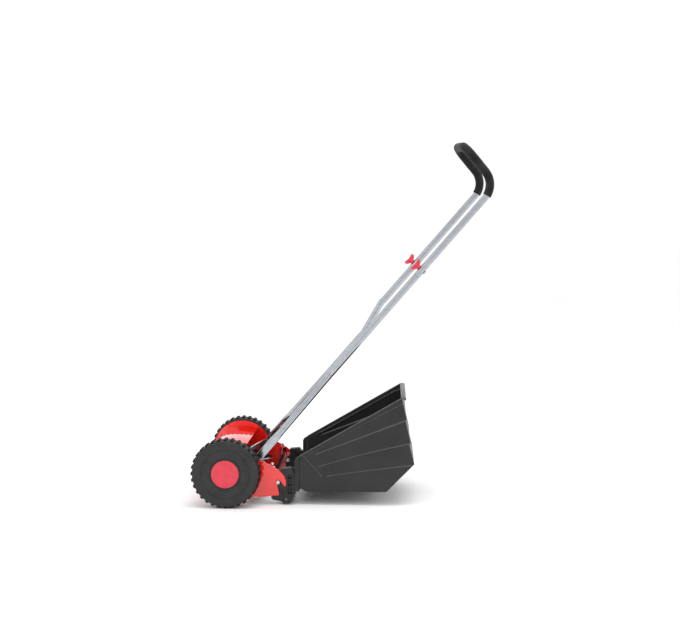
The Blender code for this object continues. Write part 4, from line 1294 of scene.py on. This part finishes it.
def make_stage():
    scene = bpy.context.scene
    scene.view_settings.view_transform = "Standard"
    lens = bpy.data.cameras.new("camera")
    lens.sensor_width = 36.0
    lens.lens = CAMERA_LENS
    lens.dof.use_dof = False
    camera = bpy.data.objects.new("camera", lens)
    scene.collection.objects.link(camera)
    camera.location = Vector(CAMERA_PLACE) + Vector((AXLE_X, 0, 0))
    camera.rotation_euler = (CAMERA_TILT, 0.0, CAMERA_PAN)
    scene.camera = camera
    make_backdrop()
    for row in SOFTBOXES:
        make_softbox(*row)
    world = bpy.data.worlds.new("studio")
    world.use_nodes = True
    world.node_tree.nodes["Background"].inputs["Color"].default_value = (1.0, 1.0, 1.0, 1.0)
    world.node_tree.nodes["Background"].inputs["Strength"].default_value = ROOM_LIGHT
    scene.world = world


# ---------------------------------------------------------------- operators


class MOWER_OT_stage(bpy.types.Operator):
    """Set the floor, the lights and the camera"""

    bl_idname = "mower.stage"
    bl_label = "Stage"

    def execute(self, context):
        make_stage()
        return {"FINISHED"}


class MOWER_OT_finishes(bpy.types.Operator):
    """Mix the paints, platings, plastics and foam"""

    bl_idname = "mower.finishes"
    bl_label = "Finishes"

    def execute(self, context):
        colours = context.scene.mower_colours
        for name in FINISHES:
            colour = FIXED_COLOURS.get(name) or tuple(getattr(colours, name))
            made, shader = make_plain_finish(name, colour)
            if name == "enamel":
                shader.inputs["Coat Weight"].default_value = 1.0
                shader.inputs["Coat Roughness"].default_value = 0.03
        make_zinc(tuple(colours.plating))
        make_ground_steel()
        make_foam_finish()
        return {"FINISHED"}


class MOWER_OT_wheels(bpy.types.Operator):
    """Turn the wheels with their lugs and ring gears"""

    bl_idname = "mower.wheels"
    bl_label = "Wheels"

    def execute(self, context):
        make_wheels(context.scene.mower_sizes)
        return {"FINISHED"}


class MOWER_OT_caps(bpy.types.Operator):
    """Turn the hub caps"""

    bl_idname = "mower.caps"
    bl_label = "Hub caps"

    def execute(self, context):
        make_caps()
        return {"FINISHED"}


class MOWER_OT_drive(bpy.types.Operator):
    """Round the axle stubs, pinions, pawls and bearings"""

    bl_idname = "mower.drive"
    bl_label = "Drive"

    def execute(self, context):
        make_drive()
        return {"FINISHED"}


class MOWER_OT_reel(bpy.types.Operator):
    """Twist the reel's blades and round its spiders and shaft"""

    bl_idname = "mower.reel"
    bl_label = "Reel"

    def execute(self, context):
        make_reel()
        return {"FINISHED"}


class MOWER_OT_knives(bpy.types.Operator):
    """Round the knife bar, the bed knife and its screws"""

    bl_idname = "mower.knives"
    bl_label = "Bed knife"

    def execute(self, context):
        make_knives()
        return {"FINISHED"}


class MOWER_OT_sheets(bpy.types.Operator):
    """Roll the top cover and press the side plates"""

    bl_idname = "mower.sheets"
    bl_label = "Cover and side plates"

    def execute(self, context):
        make_cover()
        make_side_plates()
        return {"FINISHED"}


class MOWER_OT_carriage(bpy.types.Operator):
    """Mould the roller, its rod and its brackets"""

    bl_idname = "mower.carriage"
    bl_label = "Roller carriage"

    def execute(self, context):
        make_roller()
        make_brackets()
        return {"FINISHED"}


class MOWER_OT_fasteners(bpy.types.Operator):
    """Round the straps, bolts and nuts, and cut the screws' cross recesses"""

    bl_idname = "mower.fasteners"
    bl_label = "Straps and fasteners"

    def execute(self, context):
        make_fasteners()
        make_knobs()
        return {"FINISHED"}


class MOWER_OT_handle(bpy.types.Operator):
    """Draw the handle's tubes"""

    bl_idname = "mower.handle"
    bl_label = "Handle tubes"

    def execute(self, context):
        sizes = context.scene.mower_sizes
        make_lower_tubes(sizes)
        make_middle_tubes(sizes)
        make_upper_handle(sizes)
        return {"FINISHED"}


class MOWER_OT_grip(bpy.types.Operator):
    """Pull the foam sleeve over the grip"""

    bl_idname = "mower.grip"
    bl_label = "Foam grip"

    def execute(self, context):
        make_foam_grip()
        return {"FINISHED"}


class MOWER_OT_catcher(bpy.types.Operator):
    """Mould the catcher and its frame"""

    bl_idname = "mower.catcher"
    bl_label = "Grass catcher"

    def execute(self, context):
        make_catcher(context.scene.mower_sizes)
        return {"FINISHED"}


STEPS = (
    MOWER_OT_stage,
    MOWER_OT_finishes,
    MOWER_OT_wheels,
    MOWER_OT_caps,
    MOWER_OT_drive,
    MOWER_OT_reel,
    MOWER_OT_knives,
    MOWER_OT_sheets,
    MOWER_OT_carriage,
    MOWER_OT_fasteners,
    MOWER_OT_handle,
    MOWER_OT_grip,
    MOWER_OT_catcher,
)


class MOWER_PT_pieces(bpy.types.Panel):
    """Lists the settings and the steps that build the mower"""

    bl_idname = "MOWER_PT_pieces"
    bl_label = "Reel mower"
    bl_space_type = "VIEW_3D"
    bl_region_type = "UI"
    bl_category = "Mower"

    def draw(self, context):
        for group in (context.scene.mower_sizes, context.scene.mower_colours):
            box = self.layout.box()
            for name in group.__annotations__:
                box.prop(group, name)
        for step in STEPS:
            self.layout.operator(step.bl_idname)


CLASSES = (MowerSizes, MowerColours, *STEPS, MOWER_PT_pieces)


def register():
    for cls in CLASSES:
        bpy.utils.register_class(cls)
    bpy.types.Scene.mower_sizes = PointerProperty(type=MowerSizes)
    bpy.types.Scene.mower_colours = PointerProperty(type=MowerColours)


def unregister():
    del bpy.types.Scene.mower_colours
    del bpy.types.Scene.mower_sizes
    for cls in reversed(CLASSES):
        bpy.utils.unregister_class(cls)


def main():
    register()
    for step in STEPS:
        category, name = step.bl_idname.split(".")
        getattr(getattr(bpy.ops, category), name)()


if __name__ == "__main__":
    main()
